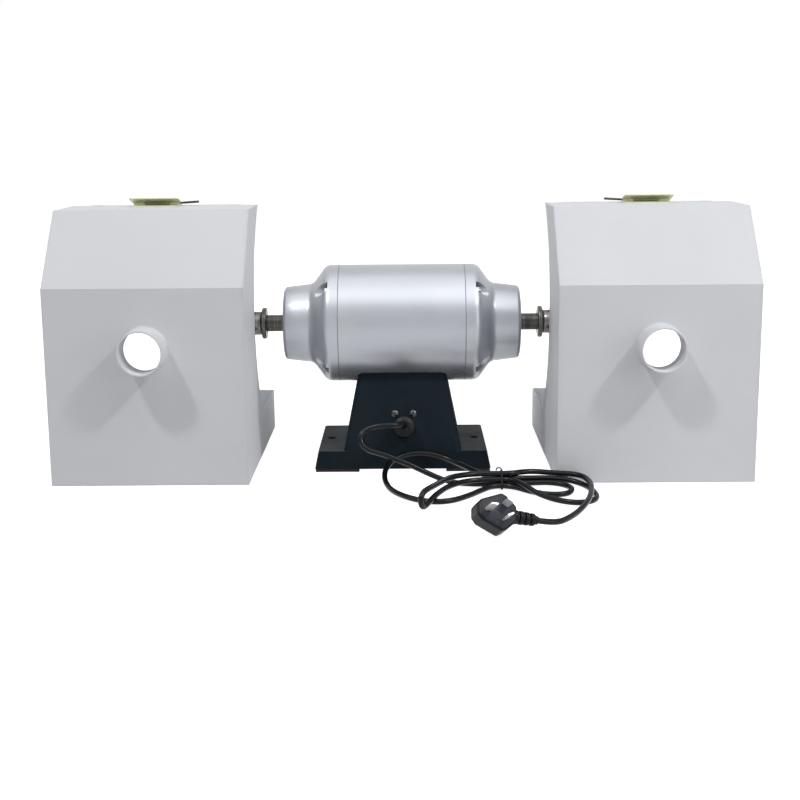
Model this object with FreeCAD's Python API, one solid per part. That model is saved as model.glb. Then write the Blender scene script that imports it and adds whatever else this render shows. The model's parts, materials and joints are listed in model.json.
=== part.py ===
"""A dental polishing lathe, in millimetres.

A double-ended motor stands on a cast pedestal and drives a tapered spindle at each end. Each
spindle reaches into a free-standing sheet-metal dust hood that has a duct spigot at the back and a
hinged clear shield at the front. X runs along the motor, +Y towards the operator and +Z up. The
origin is on the floor, under the middle of the motor.
"""

import FreeCAD, Part
import math
import os

V = FreeCAD.Vector
X_AXIS, Y_AXIS, Z_AXIS = V(1, 0, 0), V(0, 1, 0), V(0, 0, 1)
ORIGIN = V(0, 0, 0)

# ---- clearances --------------------------------------------------------------------------------
FIT = 0.05            # a shaft or ring in its bore, on the radius
SEAT = 0.2            # curved castings that sit on each other
BOLT_CLEARANCE = 0.3  # a fixed screw in its hole, on the radius
MOVING_GAP = 0.5      # pieces of different bodies that pass each other

# ---- motor -------------------------------------------------------------------------------------
AXIS_Z = 186.0            # spindle height above the floor
SHELL_R = 77.5
SHELL_WALL = 4.5
SHELL_HALF = 82.5         # half length of the shell, to its joint with a bell
BELL_RIM = 10.0           # straight rim of a bell before it rounds over
BELL_ROUND = 14.0
BELL_SWEEP = 14.0         # hollow round at the foot of the slope
NECK_R = 51.7             # where the bell's sweep runs into its neck
NECK_START = 125.5
NECK_END_R = 48.7
NECK_FACE = 156.0
NECK_EDGE_ROUND = 5.0
BELL_CAVITY_R = 57.0
BELL_CAVITY_END = 103.0
BELL_BACK_R = 38.0
BELL_BACK = 122.0
BELL_BACK_END = 126.0
BELL_WALL = 6.0           # wall round the rim's inner pocket
BOLT_CIRCLE_R = 67.0
BOLT_COUNT = 4
BOLT_R = 3.0
BOLT_HEAD_AF = 10.0
BOLT_HEAD_H = 4.0
BOLT_BOSS_R = 9.0
POCKET_W = 16.0           # scallop in the bell round each bolt head
POCKET_FLOOR = 96.0
BOLT_TAIL = 2.5           # thread that shows past the nut

CORE_HALF = 38.0
ROTOR_R = 35.4
AIR_GAP = 0.6
SLOT_COUNT = 24
SLOT_W = 4.6
SLOT_INNER_R = 38.5
SLOT_OUTER_R = 57.0
SLOT_LINER = 0.3
WINDING_REACH = 20.0      # end turns, past the core
WINDING_INNER_R = 39.0
WINDING_OUTER_R = 55.5
ROTOR_RING_W = 9.0
ROTOR_RING_OUTER_R = 34.5
ROTOR_RING_INNER_R = 20.0
ROTOR_FIN_COUNT = 8
ROTOR_FIN_W = 3.0
ROTOR_FIN_REACH = 9.0

# ---- shaft, bearings and spindles ----------------------------------------------------------------
SHAFT_CORE_R = 15.0
SHAFT_BEARING_R = 12.5
SHAFT_END_R = 11.0
SHAFT_SEAT_HALF = 62.0    # half length of the thick stretch that the rotor core is pressed on
SHAFT_WAIST_R = 14.0
BEARING_R = 26.0
BEARING_W = 15.0
BEARING_INNER_FACE = 132.0
BALL_R = 3.95
BALL_COUNT = 9
BALL_PLAY = 0.25
RACE_LAND_GAP = 2.5       # half the open gap between the two races
SEAL_R = 24.0
SEAL_W = 6.5
SEAL_INSET = 1.0
FLANGE_START = 180.7
FLANGE_W = 5.8
FLANGE_R = 20.75
FLANGE_CHAMFER = 0.8
HUB_R = 15.5
HUB_W = 29.0
SHAFT_IN_HUB = 19.0       # length of the shaft inside a spindle's hub
SPINDLE_NECK_R = 8.5
SPINDLE_NECK_W = 5.0
SPINDLE_BASE_R = 11.0
SPINDLE_TIP_R = 4.0
SPINDLE_TIP_X = 312.0
THREAD_PITCH = 4.5
THREAD_DEPTH = 1.1
SET_SCREW_R = 3.0
SET_SCREW_INSET = 10.0    # from the hub's inner face to the set screws
SET_SCREW_SOCKET_R = 1.5
SET_SCREW_SOCKET_DEPTH = 2.0

# ---- pedestal ------------------------------------------------------------------------------------
FOOT_W = 230.0
FOOT_TOP_W = 220.0
FOOT_D = 158.0
FOOT_TOP_Z = 28.0
PAD_T = 4.0
PAD_INNER_X = 57.0
PAD_INSET = 1.0
COLUMN_BASE_W = 154.0
COLUMN_TOP_W = 113.4
COLUMN_TOP_D = 97.7
COLUMN_TOP_Z = 131.0
COLUMN_CORNER_R = 8.0
CASTING_WALL = 8.0
CAVITY_TOP_Z = 98.0
FOOT_HOLE_R = 5.5
FOOT_HOLE_SPACING = 193.6
FOOT_EDGE_R = 4.0
PLATE_T = 1.5
PLATE_LAP = 5.0           # the bottom plate's overlap on the casting
PLATE_SCREW_X = 48.0
PLATE_SCREW_INSET = 14.0  # from the foot's front and rear faces to the bottom plate's screws
PLATE_SCREW_R = 2.0
PLATE_SCREW_HEAD_R = 3.5
PLATE_SCREW_HEAD_H = 2.0
PLATE_SCREW_LENGTH = 12.0
PLATE_BOSS_R = 7.0
PLATE_BOSS_H = 16.0
MOUNT_SCREW_X = 47.0
MOUNT_SCREW_Y = 20.0
MOUNT_SCREW_R = 4.0
MOUNT_SCREW_HEAD_R = 6.5
MOUNT_SCREW_HEAD_H = 8.0
MOUNT_SCREW_LENGTH = 25.0
MOUNT_BOSS_R = 7.5
MOUNT_BOSS_TOP_Z = 126.0

# ---- electrical pieces ---------------------------------------------------------------------------
CAPACITOR_R = 20.0
CAPACITOR_L = 78.0
CAPACITOR_Y = -24.0
CLAMP_T = 1.2
CLAMP_W = 16.0
CLAMP_FOOT = 14.0
BLOCK_SIZE = (62.0, 20.0, 16.0)
BLOCK_Y = 36.0
BLOCK_WAYS = 6
BLOCK_SCREW_R = 2.6
BLOCK_SCREW_DEPTH = 4.0
SWITCH_Z = 68.0           # height of the speed knob on the front of the column
SWITCH_BODY = (42.0, 42.0, 34.0)
SWITCH_SPINDLE_R = 3.0
SWITCH_BORE_DEPTH = 20.0
SWITCH_WALL_HOLE_R = 6.0
DIAL_W = 62.0
DIAL_T = 1.2
DIAL_CORNER_R = 5.0
DIAL_HOLE_R = 5.0
KNOB_R = 17.0
KNOB_H = 17.0
KNOB_SKIRT_R = 20.0
KNOB_SKIRT_H = 4.0
KNOB_GRIP_W = 9.0
SPINDLE_IN_KNOB = 12.0

GLAND_X = 2.0
GLAND_Z = 58.0
GLAND_FLANGE_R = 13.5
GLAND_FLANGE_T = 7.0
GLAND_THREAD_R = 8.0
GLAND_NUT_R = 12.0
GLAND_NUT_T = 5.0
GLAND_DOME_R = 12.0
GLAND_DOME_L = 22.0
GLAND_MOUTH_R = 7.0
REAR_SCREW_X = (-10.0, 13.9)
REAR_SCREW_Z = 75.0
REAR_SCREW_HEAD_R = 4.6
REAR_SCREW_HEAD_H = 3.0
REAR_SCREW_R = 2.0
REAR_SCREW_LENGTH = 12.0

# ---- cord ----------------------------------------------------------------------------------------
CORD_D = 7.0
RUN_SHARE = 0.45          # how much of its shorter run an arc takes at each end
CORD_ROUTE = [
    # from the gland, round to the side and down to the floor
    (2.0, -115.0, 71.0), (-10.0, -127.0, 73.0), (-27.0, -127.0, 72.5),
    (-43.0, -124.0, 69.0), (-52.0, -128.4, 61.4), (-52.0, -134.6, 50.6), (-43.0, -139.5, 43.5),
    (-28.0, -143.0, 40.5), (-10.0, -146.0, 34.5), (11.0, -146.0, 25.5), (35.0, -145.0, 13.0),
    (60.0, -150.0, 4.0), (87.0, -158.0, 4.0),
    # through the tie and round the inner right loop
    (112.0, -163.0, 5.2), (134.0, -163.0, 5.2), (157.5, -159.5, 5.2), (183.0, -159.0, 5.9),
    (203.0, -165.0, 4.2), (210.0, -184.0, 3.6), (201.0, -206.0, 3.6), (178.0, -209.0, 3.6),
    (156.0, -194.0, 3.8),
    # back through the tie and round the left loop, which leans on the foot
    (136.0, -173.0, 5.0), (112.0, -170.5, 5.2), (96.0, -188.0, 3.6), (79.0, -213.0, 3.6),
    (57.0, -236.0, 3.6), (30.0, -238.0, 3.6), (5.0, -217.0, 3.6), (-14.0, -185.0, 3.6),
    (-22.0, -150.0, 5.0), (-23.5, -120.0, 10.5), (-16.0, -98.0, 19.0), (3.0, -86.5, 25.5),
    (27.0, -85.0, 27.0), (51.0, -87.0, 22.5), (73.0, -103.0, 16.0), (92.0, -131.0, 13.0),
    # through the tie and round the outer right loop
    (112.0, -159.0, 11.9), (134.0, -159.0, 11.9), (156.0, -153.0, 9.7), (181.5, -151.5, 9.7),
    (207.0, -152.0, 7.3), (226.0, -164.0, 4.2), (235.0, -195.0, 3.6), (234.0, -231.0, 3.6),
    (212.0, -248.0, 3.6), (186.0, -236.0, 3.6), (163.0, -213.0, 6.0), (148.0, -188.0, 11.8),
    # back through the tie to the tight fold on the left
    (133.0, -167.0, 12.2), (112.0, -166.7, 11.9), (90.0, -170.0, 12.2), (71.0, -181.0, 12.2),
    (56.0, -200.0, 12.2), (45.0, -224.0, 12.2), (36.0, -247.0, 11.0), (29.0, -262.0, 7.0),
    (24.5, -270.5, 6.0), (21.7, -276.0, 11.2), (21.7, -276.0, 19.2), (24.5, -270.5, 24.4),
    (30.0, -259.0, 25.2), (37.0, -242.0, 24.0), (47.0, -213.0, 22.0), (62.0, -183.0, 20.5),
    (85.0, -167.0, 19.2),
    # through the tie once more, behind everything and over to the plug
    (112.0, -163.0, 18.6), (134.0, -163.0, 18.6), (152.5, -151.0, 17.8), (168.0, -146.2, 16.7),
    (185.0, -145.9, 14.9), (202.5, -146.4, 13.9), (218.3, -149.0, 13.2), (227.5, -161.0, 12.4),
    (231.0, -185.0, 12.4), (228.0, -219.0, 12.4), (221.0, -254.0, 12.0), (207.5, -290.0, 9.2),
    (190.0, -322.0, 7.9), (171.2, -344.3, 7.75), (150.5, -349.9, 12.7),
]
TIE_X = 123.0
TIE_W = 2.4
TIE_T = 1.2
TIE_GAP = 0.15            # between the tie and the strands it holds
TIE_EYE_R = 3.3
TIE_EYE_WIRE_R = 0.8

PLUG_HALF_OUTLINE = [(-23.3, 5.8), (-18.4, 12.1), (5.8, 22.3), (11.6, 19.6), (23.3, 8.7)]
PLUG_T = 21.5
PLUG_CORNER_R = 4.0
PLUG_EDGE_R = 2.5
PLUG_TURN = (24.2, 33.9, -15.7)   # degrees: about Z, then back about X, then in its own plane
BLADE_W = 8.0
BLADE_T = 2.1
BLADE_L = 17.0
EARTH_BLADE_L = 20.0
EARTH_BLADE_AT = (-11.0, 0.0)
LIVE_BLADE_AT = (8.9, 8.1)
LIVE_BLADE_TURN = 30.0
BOOT_L = 29.6
BOOT_R = 8.2
BOOT_END_R = 7.2
BOOT_SINK = 4.0           # how far the boot starts inside the plug's rounded outline

# ---- hoods ---------------------------------------------------------------------------------------
HOOD_CENTRE_X = 318.8
HOOD_W = 250.0
HOOD_BACK_Y = -142.0
HOOD_SHEET = 1.5
HOOD_BACK_H = 250.0
HOOD_TOP_H = 341.0
HOOD_TOP_START = 83.0     # from the rear wall
HOOD_TOP_END = 188.0
HOOD_BITE_MID = (113.0, 197.0)
HOOD_TRAY_START = 190.0
HOOD_TRAY_H = 57.0
HOOD_DEPTH = 342.0
SPIGOT_R = 28.0
SPIGOT_WALL = 2.0
SPIGOT_REACH = 35.0
SPIGOT_Z = 174.0
SPIGOT_WELD = 2.0         # leg of the weld round the spigot's root

HINGE_OFFSET = 10.0       # hinge's middle, from the hood's middle towards its outer side
HINGE_W = 62.0
HINGE_T = 1.5
HINGE_PIN_R = 1.5
HINGE_BARREL_R = 3.0
HINGE_PIN_Y = 186.0       # from the hood's rear wall
HINGE_PIN_LIFT = 3.3      # the pin's axis above the hood's top
HINGE_LEAF_D = 30.0
HINGE_KNUCKLE_W = 14.0
HINGE_TAIL = 25.0
HINGE_TAIL_RISE = 1.5
HINGE_SCREW_R = 2.0
HINGE_SCREW_HEAD_R = 3.4
HINGE_SCREW_HEAD_H = 1.2
HINGE_SCREW_LENGTH = 5.0
HINGE_SCREW_X = 20.0
SHIELD_TILT = 15.0        # degrees that the shield hangs below level at rest
TAB_W = 66.0
TAB_REACH = 29.0          # rear tab of the rocker, from the pin
ARM_REACH = 34.0          # front arm of the rocker, from the pin
SHIELD_W = 214.0
SHIELD_L = 132.0
SHIELD_T = 3.0
SHIELD_START = 9.0        # from the pin
SHIELD_CORNER_R = 10.0

NODES = {}


# ---- helpers ---------------------------------------------------------------------------------------
def box(x0, x1, y0, y1, z0, z1):
    return Part.makeBox(x1 - x0, y1 - y0, z1 - z0, V(x0, y0, z0))


def rod(radius, start, direction, length):
    return Part.makeCylinder(radius, length, V(*start), V(*direction))


def mirrored(shape):
    """The same shape on the other side of the lathe's middle plane."""
    return shape.mirror(ORIGIN, X_AXIS)


def outline(start, steps, place):
    """A face from 2-D steps: a point is a line to it, a pair of points is an arc through the first."""
    edges = []
    here = start
    for step in list(steps) + [start]:
        if isinstance(step[0], tuple):
            middle, end = step
            edges.append(Part.Arc(place(here), place(middle), place(end)).toShape())
        else:
            end = step
            if math.dist(here, end) > 1e-6:
                edges.append(Part.LineSegment(place(here), place(end)).toShape())
        here = end
    return Part.Face(Part.Wire(edges))


def axial(point):
    """Distance along the motor and radius, as a place in space."""
    return V(point[0], 0, AXIS_Z + point[1])


def turned(start, steps):
    """A solid of revolution about the motor's axis."""
    return outline(start, steps, axial).revolve(V(0, 0, AXIS_Z), X_AXIS, 360)


def ring(inner, outer, x0, x1):
    """A plain ring about the motor's axis."""
    return turned((x0, inner), [(x0, outer), (x1, outer), (x1, inner)])


def disc(radius, x0, x1):
    return rod(radius, (x0, 0, AXIS_Z), (1, 0, 0), x1 - x0)


def around_axis(shape, degrees):
    copy = shape.copy()
    copy.rotate(V(0, 0, AXIS_Z), X_AXIS, degrees)
    return copy


def hexagon(across_flats, start, direction, height):
    """A hexagonal prism; direction is +X or -X."""
    corner = across_flats / math.sqrt(3)
    points = []
    for k in range(7):
        angle = math.radians(60 * k)
        points.append(V(0, corner * math.cos(angle), corner * math.sin(angle)))
    prism = Part.Face(Part.makePolygon(points)).extrude(V(direction * height, 0, 0))
    prism.translate(V(*start))
    return prism


def rounded_plate(width, depth, thickness, radius):
    """A flat plate with round corners, centred on the origin, its underside at zero."""
    plate = box(-width / 2, width / 2, -depth / 2, depth / 2, 0, thickness)
    upright = [e for e in plate.Edges if abs(e.Vertexes[0].Z - e.Vertexes[1].Z) > thickness / 2]
    return plate.makeFillet(radius, upright)


def bolt_angles():
    return [45 + 360 / BOLT_COUNT * k for k in range(BOLT_COUNT)]


def on_bolt_circle(degrees):
    angle = math.radians(degrees)
    return BOLT_CIRCLE_R * math.cos(angle), AXIS_Z + BOLT_CIRCLE_R * math.sin(angle)


def bolt_rods(radius, x0, x1):
    return [rod(radius, (x0, *on_bolt_circle(a)), (1, 0, 0), x1 - x0) for a in bolt_angles()]


def save(name, *solids):
    """Keep the solids as one named node."""
    NODES[name] = solids[0] if len(solids) == 1 else Part.makeCompound(list(solids))


# ---- motor ---------------------------------------------------------------------------------------
def motor_shell():
    shell = ring(SHELL_R - SHELL_WALL, SHELL_R, -SHELL_HALF, SHELL_HALF)
    bore = disc(SHELL_R - SHELL_WALL / 2, -SHELL_HALF, SHELL_HALF)
    for x, y in mount_places():
        boss = rod(MOUNT_BOSS_R, (x, y, AXIS_Z - SHELL_R), (0, 0, 1), MOUNT_BOSS_TOP_Z - AXIS_Z + SHELL_R)
        shell = shell.fuse(boss.common(bore))
    for x, y in mount_places():
        shell = shell.cut(rod(MOUNT_SCREW_R + FIT, (x, y, 0), (0, 0, 1), AXIS_Z))
    return shell.removeSplitter()


def bell_outline():
    """Rim, round, straight slope, hollow sweep, drafted neck and rounded edge, from the joint to the axis."""
    rim_end = SHELL_HALF + BELL_RIM
    c1 = (rim_end, SHELL_R - BELL_ROUND)
    c2 = (NECK_START, NECK_R + BELL_SWEEP)
    # the slope is the line that touches both arcs
    reach = math.hypot(c2[0] - c1[0], c2[1] - c1[1])
    slope = math.asin((BELL_ROUND + BELL_SWEEP) / reach) - math.atan2(c2[1] - c1[1], c2[0] - c1[0])

    def on_round(angle):
        return c1[0] + BELL_ROUND * math.sin(angle), c1[1] + BELL_ROUND * math.cos(angle)

    def on_sweep(angle):
        return c2[0] - BELL_SWEEP * math.sin(angle), c2[1] - BELL_SWEEP * math.cos(angle)

    round_start = NECK_FACE - NECK_EDGE_ROUND
    lean = NECK_EDGE_ROUND * (1 - math.cos(math.pi / 4))
    mid3 = (NECK_FACE - lean, NECK_END_R - lean)
    return [
        (rim_end, SHELL_R), (on_round(slope / 2), on_round(slope)),
        on_sweep(slope), (on_sweep(slope / 2), (NECK_START, NECK_R)),
        (round_start, NECK_END_R), (mid3, (NECK_FACE, NECK_END_R - NECK_EDGE_ROUND)),
        (NECK_FACE, SEAL_R + FIT),
        (BEARING_INNER_FACE + BEARING_W + FIT, SEAL_R + FIT),
        (BEARING_INNER_FACE + BEARING_W + FIT, BEARING_R + FIT),
        (BELL_BACK_END, BEARING_R + FIT), (BELL_BACK_END, BELL_BACK_R), (BELL_BACK, BELL_BACK_R),
        (BELL_CAVITY_END, BELL_CAVITY_R), (SHELL_HALF, BELL_CAVITY_R),
    ]


def end_bell():
    bell = turned((SHELL_HALF, SHELL_R), bell_outline())
    pocket = ring(BELL_CAVITY_R - 1, SHELL_R - BELL_WALL, SHELL_HALF, POCKET_FLOOR - BELL_WALL)
    for boss in bolt_rods(BOLT_BOSS_R, SHELL_HALF, POCKET_FLOOR):
        pocket = pocket.cut(boss)
    bell = bell.cut(pocket)
    for hole in bolt_rods(BOLT_R + BOLT_CLEARANCE, SHELL_HALF, POCKET_FLOOR):
        bell = bell.cut(hole)
    for scallop in bolt_rods(POCKET_W / 2, POCKET_FLOOR, NECK_START):
        bell = bell.cut(scallop)
    slot = box(POCKET_FLOOR, NECK_START, 0, SHELL_R, -POCKET_W / 2, POCKET_W / 2)
    slot.translate(V(0, BOLT_CIRCLE_R, AXIS_Z))
    for angle in bolt_angles():
        bell = bell.cut(around_axis(slot, angle))
    return bell


def through_bolts():
    """Four long bolts that clamp both bells to the shell: heads on the left, nuts on the right."""
    solids = []
    length_end = POCKET_FLOOR + BOLT_HEAD_H + BOLT_TAIL
    for angle in bolt_angles():
        y, z = on_bolt_circle(angle)
        shank = rod(BOLT_R, (-POCKET_FLOOR, y, z), (1, 0, 0), POCKET_FLOOR + length_end)
        solids.append(shank.fuse(hexagon(BOLT_HEAD_AF, (-POCKET_FLOOR, y, z), -1, BOLT_HEAD_H)))
        nut = hexagon(BOLT_HEAD_AF, (POCKET_FLOOR, y, z), 1, BOLT_HEAD_H)
        solids.append(nut.cut(rod(BOLT_R + FIT, (POCKET_FLOOR, y, z), (1, 0, 0), BOLT_HEAD_H)))
    return solids


def slots(clearance, x0, x1):
    """The tooth gaps of the stator, one box each."""
    half = SLOT_W / 2 - clearance
    bar = box(x0, x1, SLOT_INNER_R + clearance, SLOT_OUTER_R - clearance, -half, half)
    bar.translate(V(0, 0, AXIS_Z))
    return [around_axis(bar, 360 / SLOT_COUNT * (k + 0.5)) for k in range(SLOT_COUNT)]


def stator_core():
    core = ring(ROTOR_R + AIR_GAP, SHELL_R - SHELL_WALL - FIT, -CORE_HALF, CORE_HALF)
    cutters = slots(0, -CORE_HALF, CORE_HALF)
    cutters += bolt_rods(BOLT_R + BOLT_CLEARANCE, -CORE_HALF, CORE_HALF)
    return core.cut(Part.makeCompound(cutters))


def stator_windings():
    """Copper in the slots, joined by a bunch of end turns at each side."""
    reach = CORE_HALF + WINDING_REACH
    clear = CORE_HALF + SLOT_LINER
    bunch = ring(WINDING_INNER_R, WINDING_OUTER_R, clear, reach)
    rims = [e for e in bunch.Edges if abs(e.BoundBox.XMin - reach) < 0.01 and e.BoundBox.XLength < 0.01]
    bunch = bunch.makeFillet(WINDING_REACH / 4, rims)
    return bunch.multiFuse([mirrored(bunch)] + slots(SLOT_LINER, -clear, clear))


def rotor_core():
    return ring(SHAFT_CORE_R + FIT, ROTOR_R, -CORE_HALF, CORE_HALF)


def rotor_end_ring():
    """Cast aluminium ring on one end of the rotor core, with stirring fins."""
    base = ring(ROTOR_RING_INNER_R, ROTOR_RING_OUTER_R, CORE_HALF, CORE_HALF + ROTOR_RING_W)
    fin = box(CORE_HALF, CORE_HALF + ROTOR_RING_W + ROTOR_FIN_REACH,
              ROTOR_RING_INNER_R + 1, ROTOR_RING_OUTER_R - 1, -ROTOR_FIN_W / 2, ROTOR_FIN_W / 2)
    fin.translate(V(0, 0, AXIS_Z))
    fins = [around_axis(fin, 360 / ROTOR_FIN_COUNT * k) for k in range(ROTOR_FIN_COUNT)]
    return base.multiFuse(fins)


def shaft_end_x():
    return FLANGE_START + FLANGE_W + SHAFT_IN_HUB


def motor_shaft():
    end = shaft_end_x()
    chamfer = 1.0
    half = [
        (SHAFT_SEAT_HALF, SHAFT_CORE_R), (SHAFT_SEAT_HALF, SHAFT_WAIST_R),
        (BEARING_INNER_FACE, SHAFT_WAIST_R), (BEARING_INNER_FACE, SHAFT_BEARING_R),
        (BEARING_INNER_FACE + BEARING_W, SHAFT_BEARING_R),
        (BEARING_INNER_FACE + BEARING_W, SHAFT_END_R), (end - chamfer, SHAFT_END_R),
        (end, SHAFT_END_R - chamfer),
    ]
    other = [(-x, r) for x, r in reversed(half)]
    return turned((-end, 0), other + half + [(end, 0)])


def race_centre():
    return (SHAFT_BEARING_R + BEARING_R) / 2


def bearing_mid_x():
    return BEARING_INNER_FACE + BEARING_W / 2


def ball_groove():
    return Part.makeTorus(race_centre(), BALL_R + BALL_PLAY, V(bearing_mid_x(), 0, AXIS_Z), X_AXIS)


def race(inner, outer):
    """One race of the right bearing, between two radii."""
    body = ring(inner, outer, BEARING_INNER_FACE, BEARING_INNER_FACE + BEARING_W)
    return body.cut(ball_groove())


def bearing_outer_race():
    return race(race_centre() + RACE_LAND_GAP, BEARING_R)


def bearing_inner_race():
    return race(SHAFT_BEARING_R + FIT, race_centre() - RACE_LAND_GAP)


def bearing_balls():
    balls = []
    for k in range(BALL_COUNT):
        ball = Part.makeSphere(BALL_R, V(bearing_mid_x(), race_centre(), AXIS_Z))
        balls.append(around_axis(ball, 360 / BALL_COUNT * k))
    return balls


def shaft_seal():
    return ring(SHAFT_END_R + FIT, SEAL_R, NECK_FACE - SEAL_INSET - SEAL_W, NECK_FACE - SEAL_INSET)


def spindle_flange():
    flange = ring(SHAFT_END_R + FIT, FLANGE_R, FLANGE_START, FLANGE_START + FLANGE_W)
    wide = 2 * FLANGE_R - 0.01
    rims = [e for e in flange.Edges if e.BoundBox.XLength < 0.01 and e.BoundBox.ZLength > wide]
    return flange.makeChamfer(FLANGE_CHAMFER, rims)


def hub_face_x():
    return FLANGE_START + FLANGE_W


def set_screw_places():
    """Two set screws a quarter turn apart: each one's turn about the shaft, in degrees."""
    return [20, 110]


def spindle():
    """Hub that fits over the shaft's end and a taper with a coarse thread for buffing wheels."""
    start = hub_face_x()
    hub_end = start + HUB_W
    taper_start = hub_end + SPINDLE_NECK_W
    steps = [(start, HUB_R - 1), (start + 1, HUB_R), (hub_end - 3, HUB_R), (hub_end, HUB_R - 3),
             (hub_end, SPINDLE_NECK_R), (taper_start, SPINDLE_NECK_R)]
    length = SPINDLE_TIP_X - SPINDLE_TIP_R - taper_start
    turns = int(length / THREAD_PITCH)
    slope = (SPINDLE_BASE_R - SPINDLE_TIP_R) / length
    for k in range(turns):
        x = taper_start + k * THREAD_PITCH
        crest = SPINDLE_BASE_R - slope * (x + THREAD_PITCH / 2 - taper_start)
        steps.append((x, crest - THREAD_DEPTH))
        steps.append((x + THREAD_PITCH / 2, crest))
    end_x = taper_start + turns * THREAD_PITCH
    end_r = SPINDLE_TIP_R - THREAD_DEPTH / 2
    steps.append((end_x, end_r))
    lean = end_r * (1 - math.cos(math.pi / 4))
    steps.append(((end_x + end_r - lean, end_r - lean), (end_x + end_r, 0)))
    bore_end = shaft_end_x() + MOVING_GAP
    steps += [(bore_end, 0), (bore_end, SHAFT_END_R + FIT)]
    body = turned((start, SHAFT_END_R + FIT), steps)
    for degrees in set_screw_places():
        hole = rod(SET_SCREW_R + FIT, (start + SET_SCREW_INSET, 0, AXIS_Z), (0, 0, 1), HUB_R + 1)
        hole = hole.cut(disc(SHAFT_END_R, start, hub_end))
        body = body.cut(around_axis(hole, degrees))
    return body


def set_screws():
    solids = []
    for degrees in set_screw_places():
        x = hub_face_x() + SET_SCREW_INSET
        top = HUB_R - 0.4
        screw = rod(SET_SCREW_R, (x, 0, AXIS_Z + SHAFT_END_R + FIT), (0, 0, 1), top - SHAFT_END_R - FIT)
        socket = rod(SET_SCREW_SOCKET_R, (x, 0, AXIS_Z + top - SET_SCREW_SOCKET_DEPTH), (0, 0, 1),
                     SET_SCREW_SOCKET_DEPTH)
        solids.append(around_axis(screw.cut(socket), degrees))
    return solids


# ---- pedestal ------------------------------------------------------------------------------------
def frustum(half_w0, half_d0, z0, half_w1, half_d1, z1):
    def loop(w, d, z):
        return Part.makePolygon([V(-w, -d, z), V(w, -d, z), V(w, d, z), V(-w, d, z), V(-w, -d, z)])
    return Part.makeLoft([loop(half_w0, half_d0, z0), loop(half_w1, half_d1, z1)], True, True)


def column_half_width(z):
    share = (z - FOOT_TOP_Z) / (COLUMN_TOP_Z - FOOT_TOP_Z)
    return (COLUMN_BASE_W + (COLUMN_TOP_W - COLUMN_BASE_W) * share) / 2


def column_half_depth(z):
    share = (z - FOOT_TOP_Z) / (COLUMN_TOP_Z - FOOT_TOP_Z)
    return (FOOT_D + (COLUMN_TOP_D - FOOT_D) * share) / 2


def face_lean():
    """Angle between the column's front or rear face and upright, in degrees."""
    return math.degrees(math.atan2((FOOT_D - COLUMN_TOP_D) / 2, COLUMN_TOP_Z - FOOT_TOP_Z))


def mount_places():
    return [(sx * MOUNT_SCREW_X, sy * MOUNT_SCREW_Y) for sx in (-1, 1) for sy in (-1, 1)]


def plate_screw_places():
    y = FOOT_D / 2 - PLATE_SCREW_INSET
    return [(sx * PLATE_SCREW_X, sy * y) for sx in (-1, 1) for sy in (-1, 1)]


def on_face(shape, x, z, side):
    """Set a shape that is built about +Z, its seat at zero, on the column's sloped face.

    side is +1 for the operator's face and -1 for the rear one.
    """
    copy = shape.copy()
    copy.rotate(ORIGIN, X_AXIS, -side * (90 - face_lean()))
    copy.translate(V(x, side * column_half_depth(z), z))
    return copy


def upright_edges(shape, z_low, z_high):
    """Slanted corner edges of the column between two heights."""
    found = []
    for edge in shape.Edges:
        span = edge.BoundBox
        if span.ZLength > (z_high - z_low) * 0.9:
            found.append(edge)
    return found


def cavity_floor_z():
    return PAD_T + PLATE_T


def pedestal():
    column = frustum(column_half_width(FOOT_TOP_Z), column_half_depth(FOOT_TOP_Z), FOOT_TOP_Z,
                     column_half_width(COLUMN_TOP_Z), column_half_depth(COLUMN_TOP_Z), COLUMN_TOP_Z)
    column = column.makeFillet(COLUMN_CORNER_R, upright_edges(column, FOOT_TOP_Z, COLUMN_TOP_Z))
    foot = frustum(FOOT_W / 2, FOOT_D / 2, PAD_T, FOOT_TOP_W / 2, FOOT_D / 2, FOOT_TOP_Z)
    foot = foot.makeFillet(FOOT_EDGE_R, upright_edges(foot, PAD_T, FOOT_TOP_Z))
    body = foot.fuse(column)
    body = body.cut(disc(SHELL_R + SEAT, -FOOT_W, FOOT_W))
    low_w, low_d = cavity_half_size()
    cavity = box(-low_w, low_w, -low_d, low_d, PAD_T, FOOT_TOP_Z)
    cavity = cavity.fuse(upper_cavity())
    for x, y in plate_screw_places():
        cavity = cavity.cut(rod(PLATE_BOSS_R, (x, y, 0), (0, 0, 1), cavity_floor_z() + PLATE_BOSS_H))
    body = body.cut(cavity)
    body = body.cut(box(-low_w - PLATE_LAP, low_w + PLATE_LAP, -low_d - PLATE_LAP, low_d + PLATE_LAP,
                        PAD_T, cavity_floor_z()))
    for side in (-1, 1):
        body = body.cut(rod(FOOT_HOLE_R, (side * FOOT_HOLE_SPACING / 2, 0, 0), (0, 0, 1), COLUMN_TOP_Z))
    for x, y in plate_screw_places():
        body = body.cut(rod(PLATE_SCREW_R + FIT, (x, y, 0), (0, 0, 1), cavity_floor_z() + PLATE_BOSS_H))
    for x, y in mount_places():
        body = body.cut(rod(MOUNT_SCREW_R + BOLT_CLEARANCE, (x, y, CAVITY_TOP_Z - 1), (0, 0, 1), AXIS_Z))
    through = 4 * CASTING_WALL
    holes = [(SWITCH_WALL_HOLE_R, 0, SWITCH_Z, 1), (GLAND_THREAD_R + FIT, GLAND_X, GLAND_Z, -1)]
    holes += [(REAR_SCREW_R + FIT, x, REAR_SCREW_Z, -1) for x in REAR_SCREW_X]
    for radius, x, z, side in holes:
        body = body.cut(on_face(rod(radius, (0, 0, -through / 2), (0, 0, 1), through), x, z, side))
    return body


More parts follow.
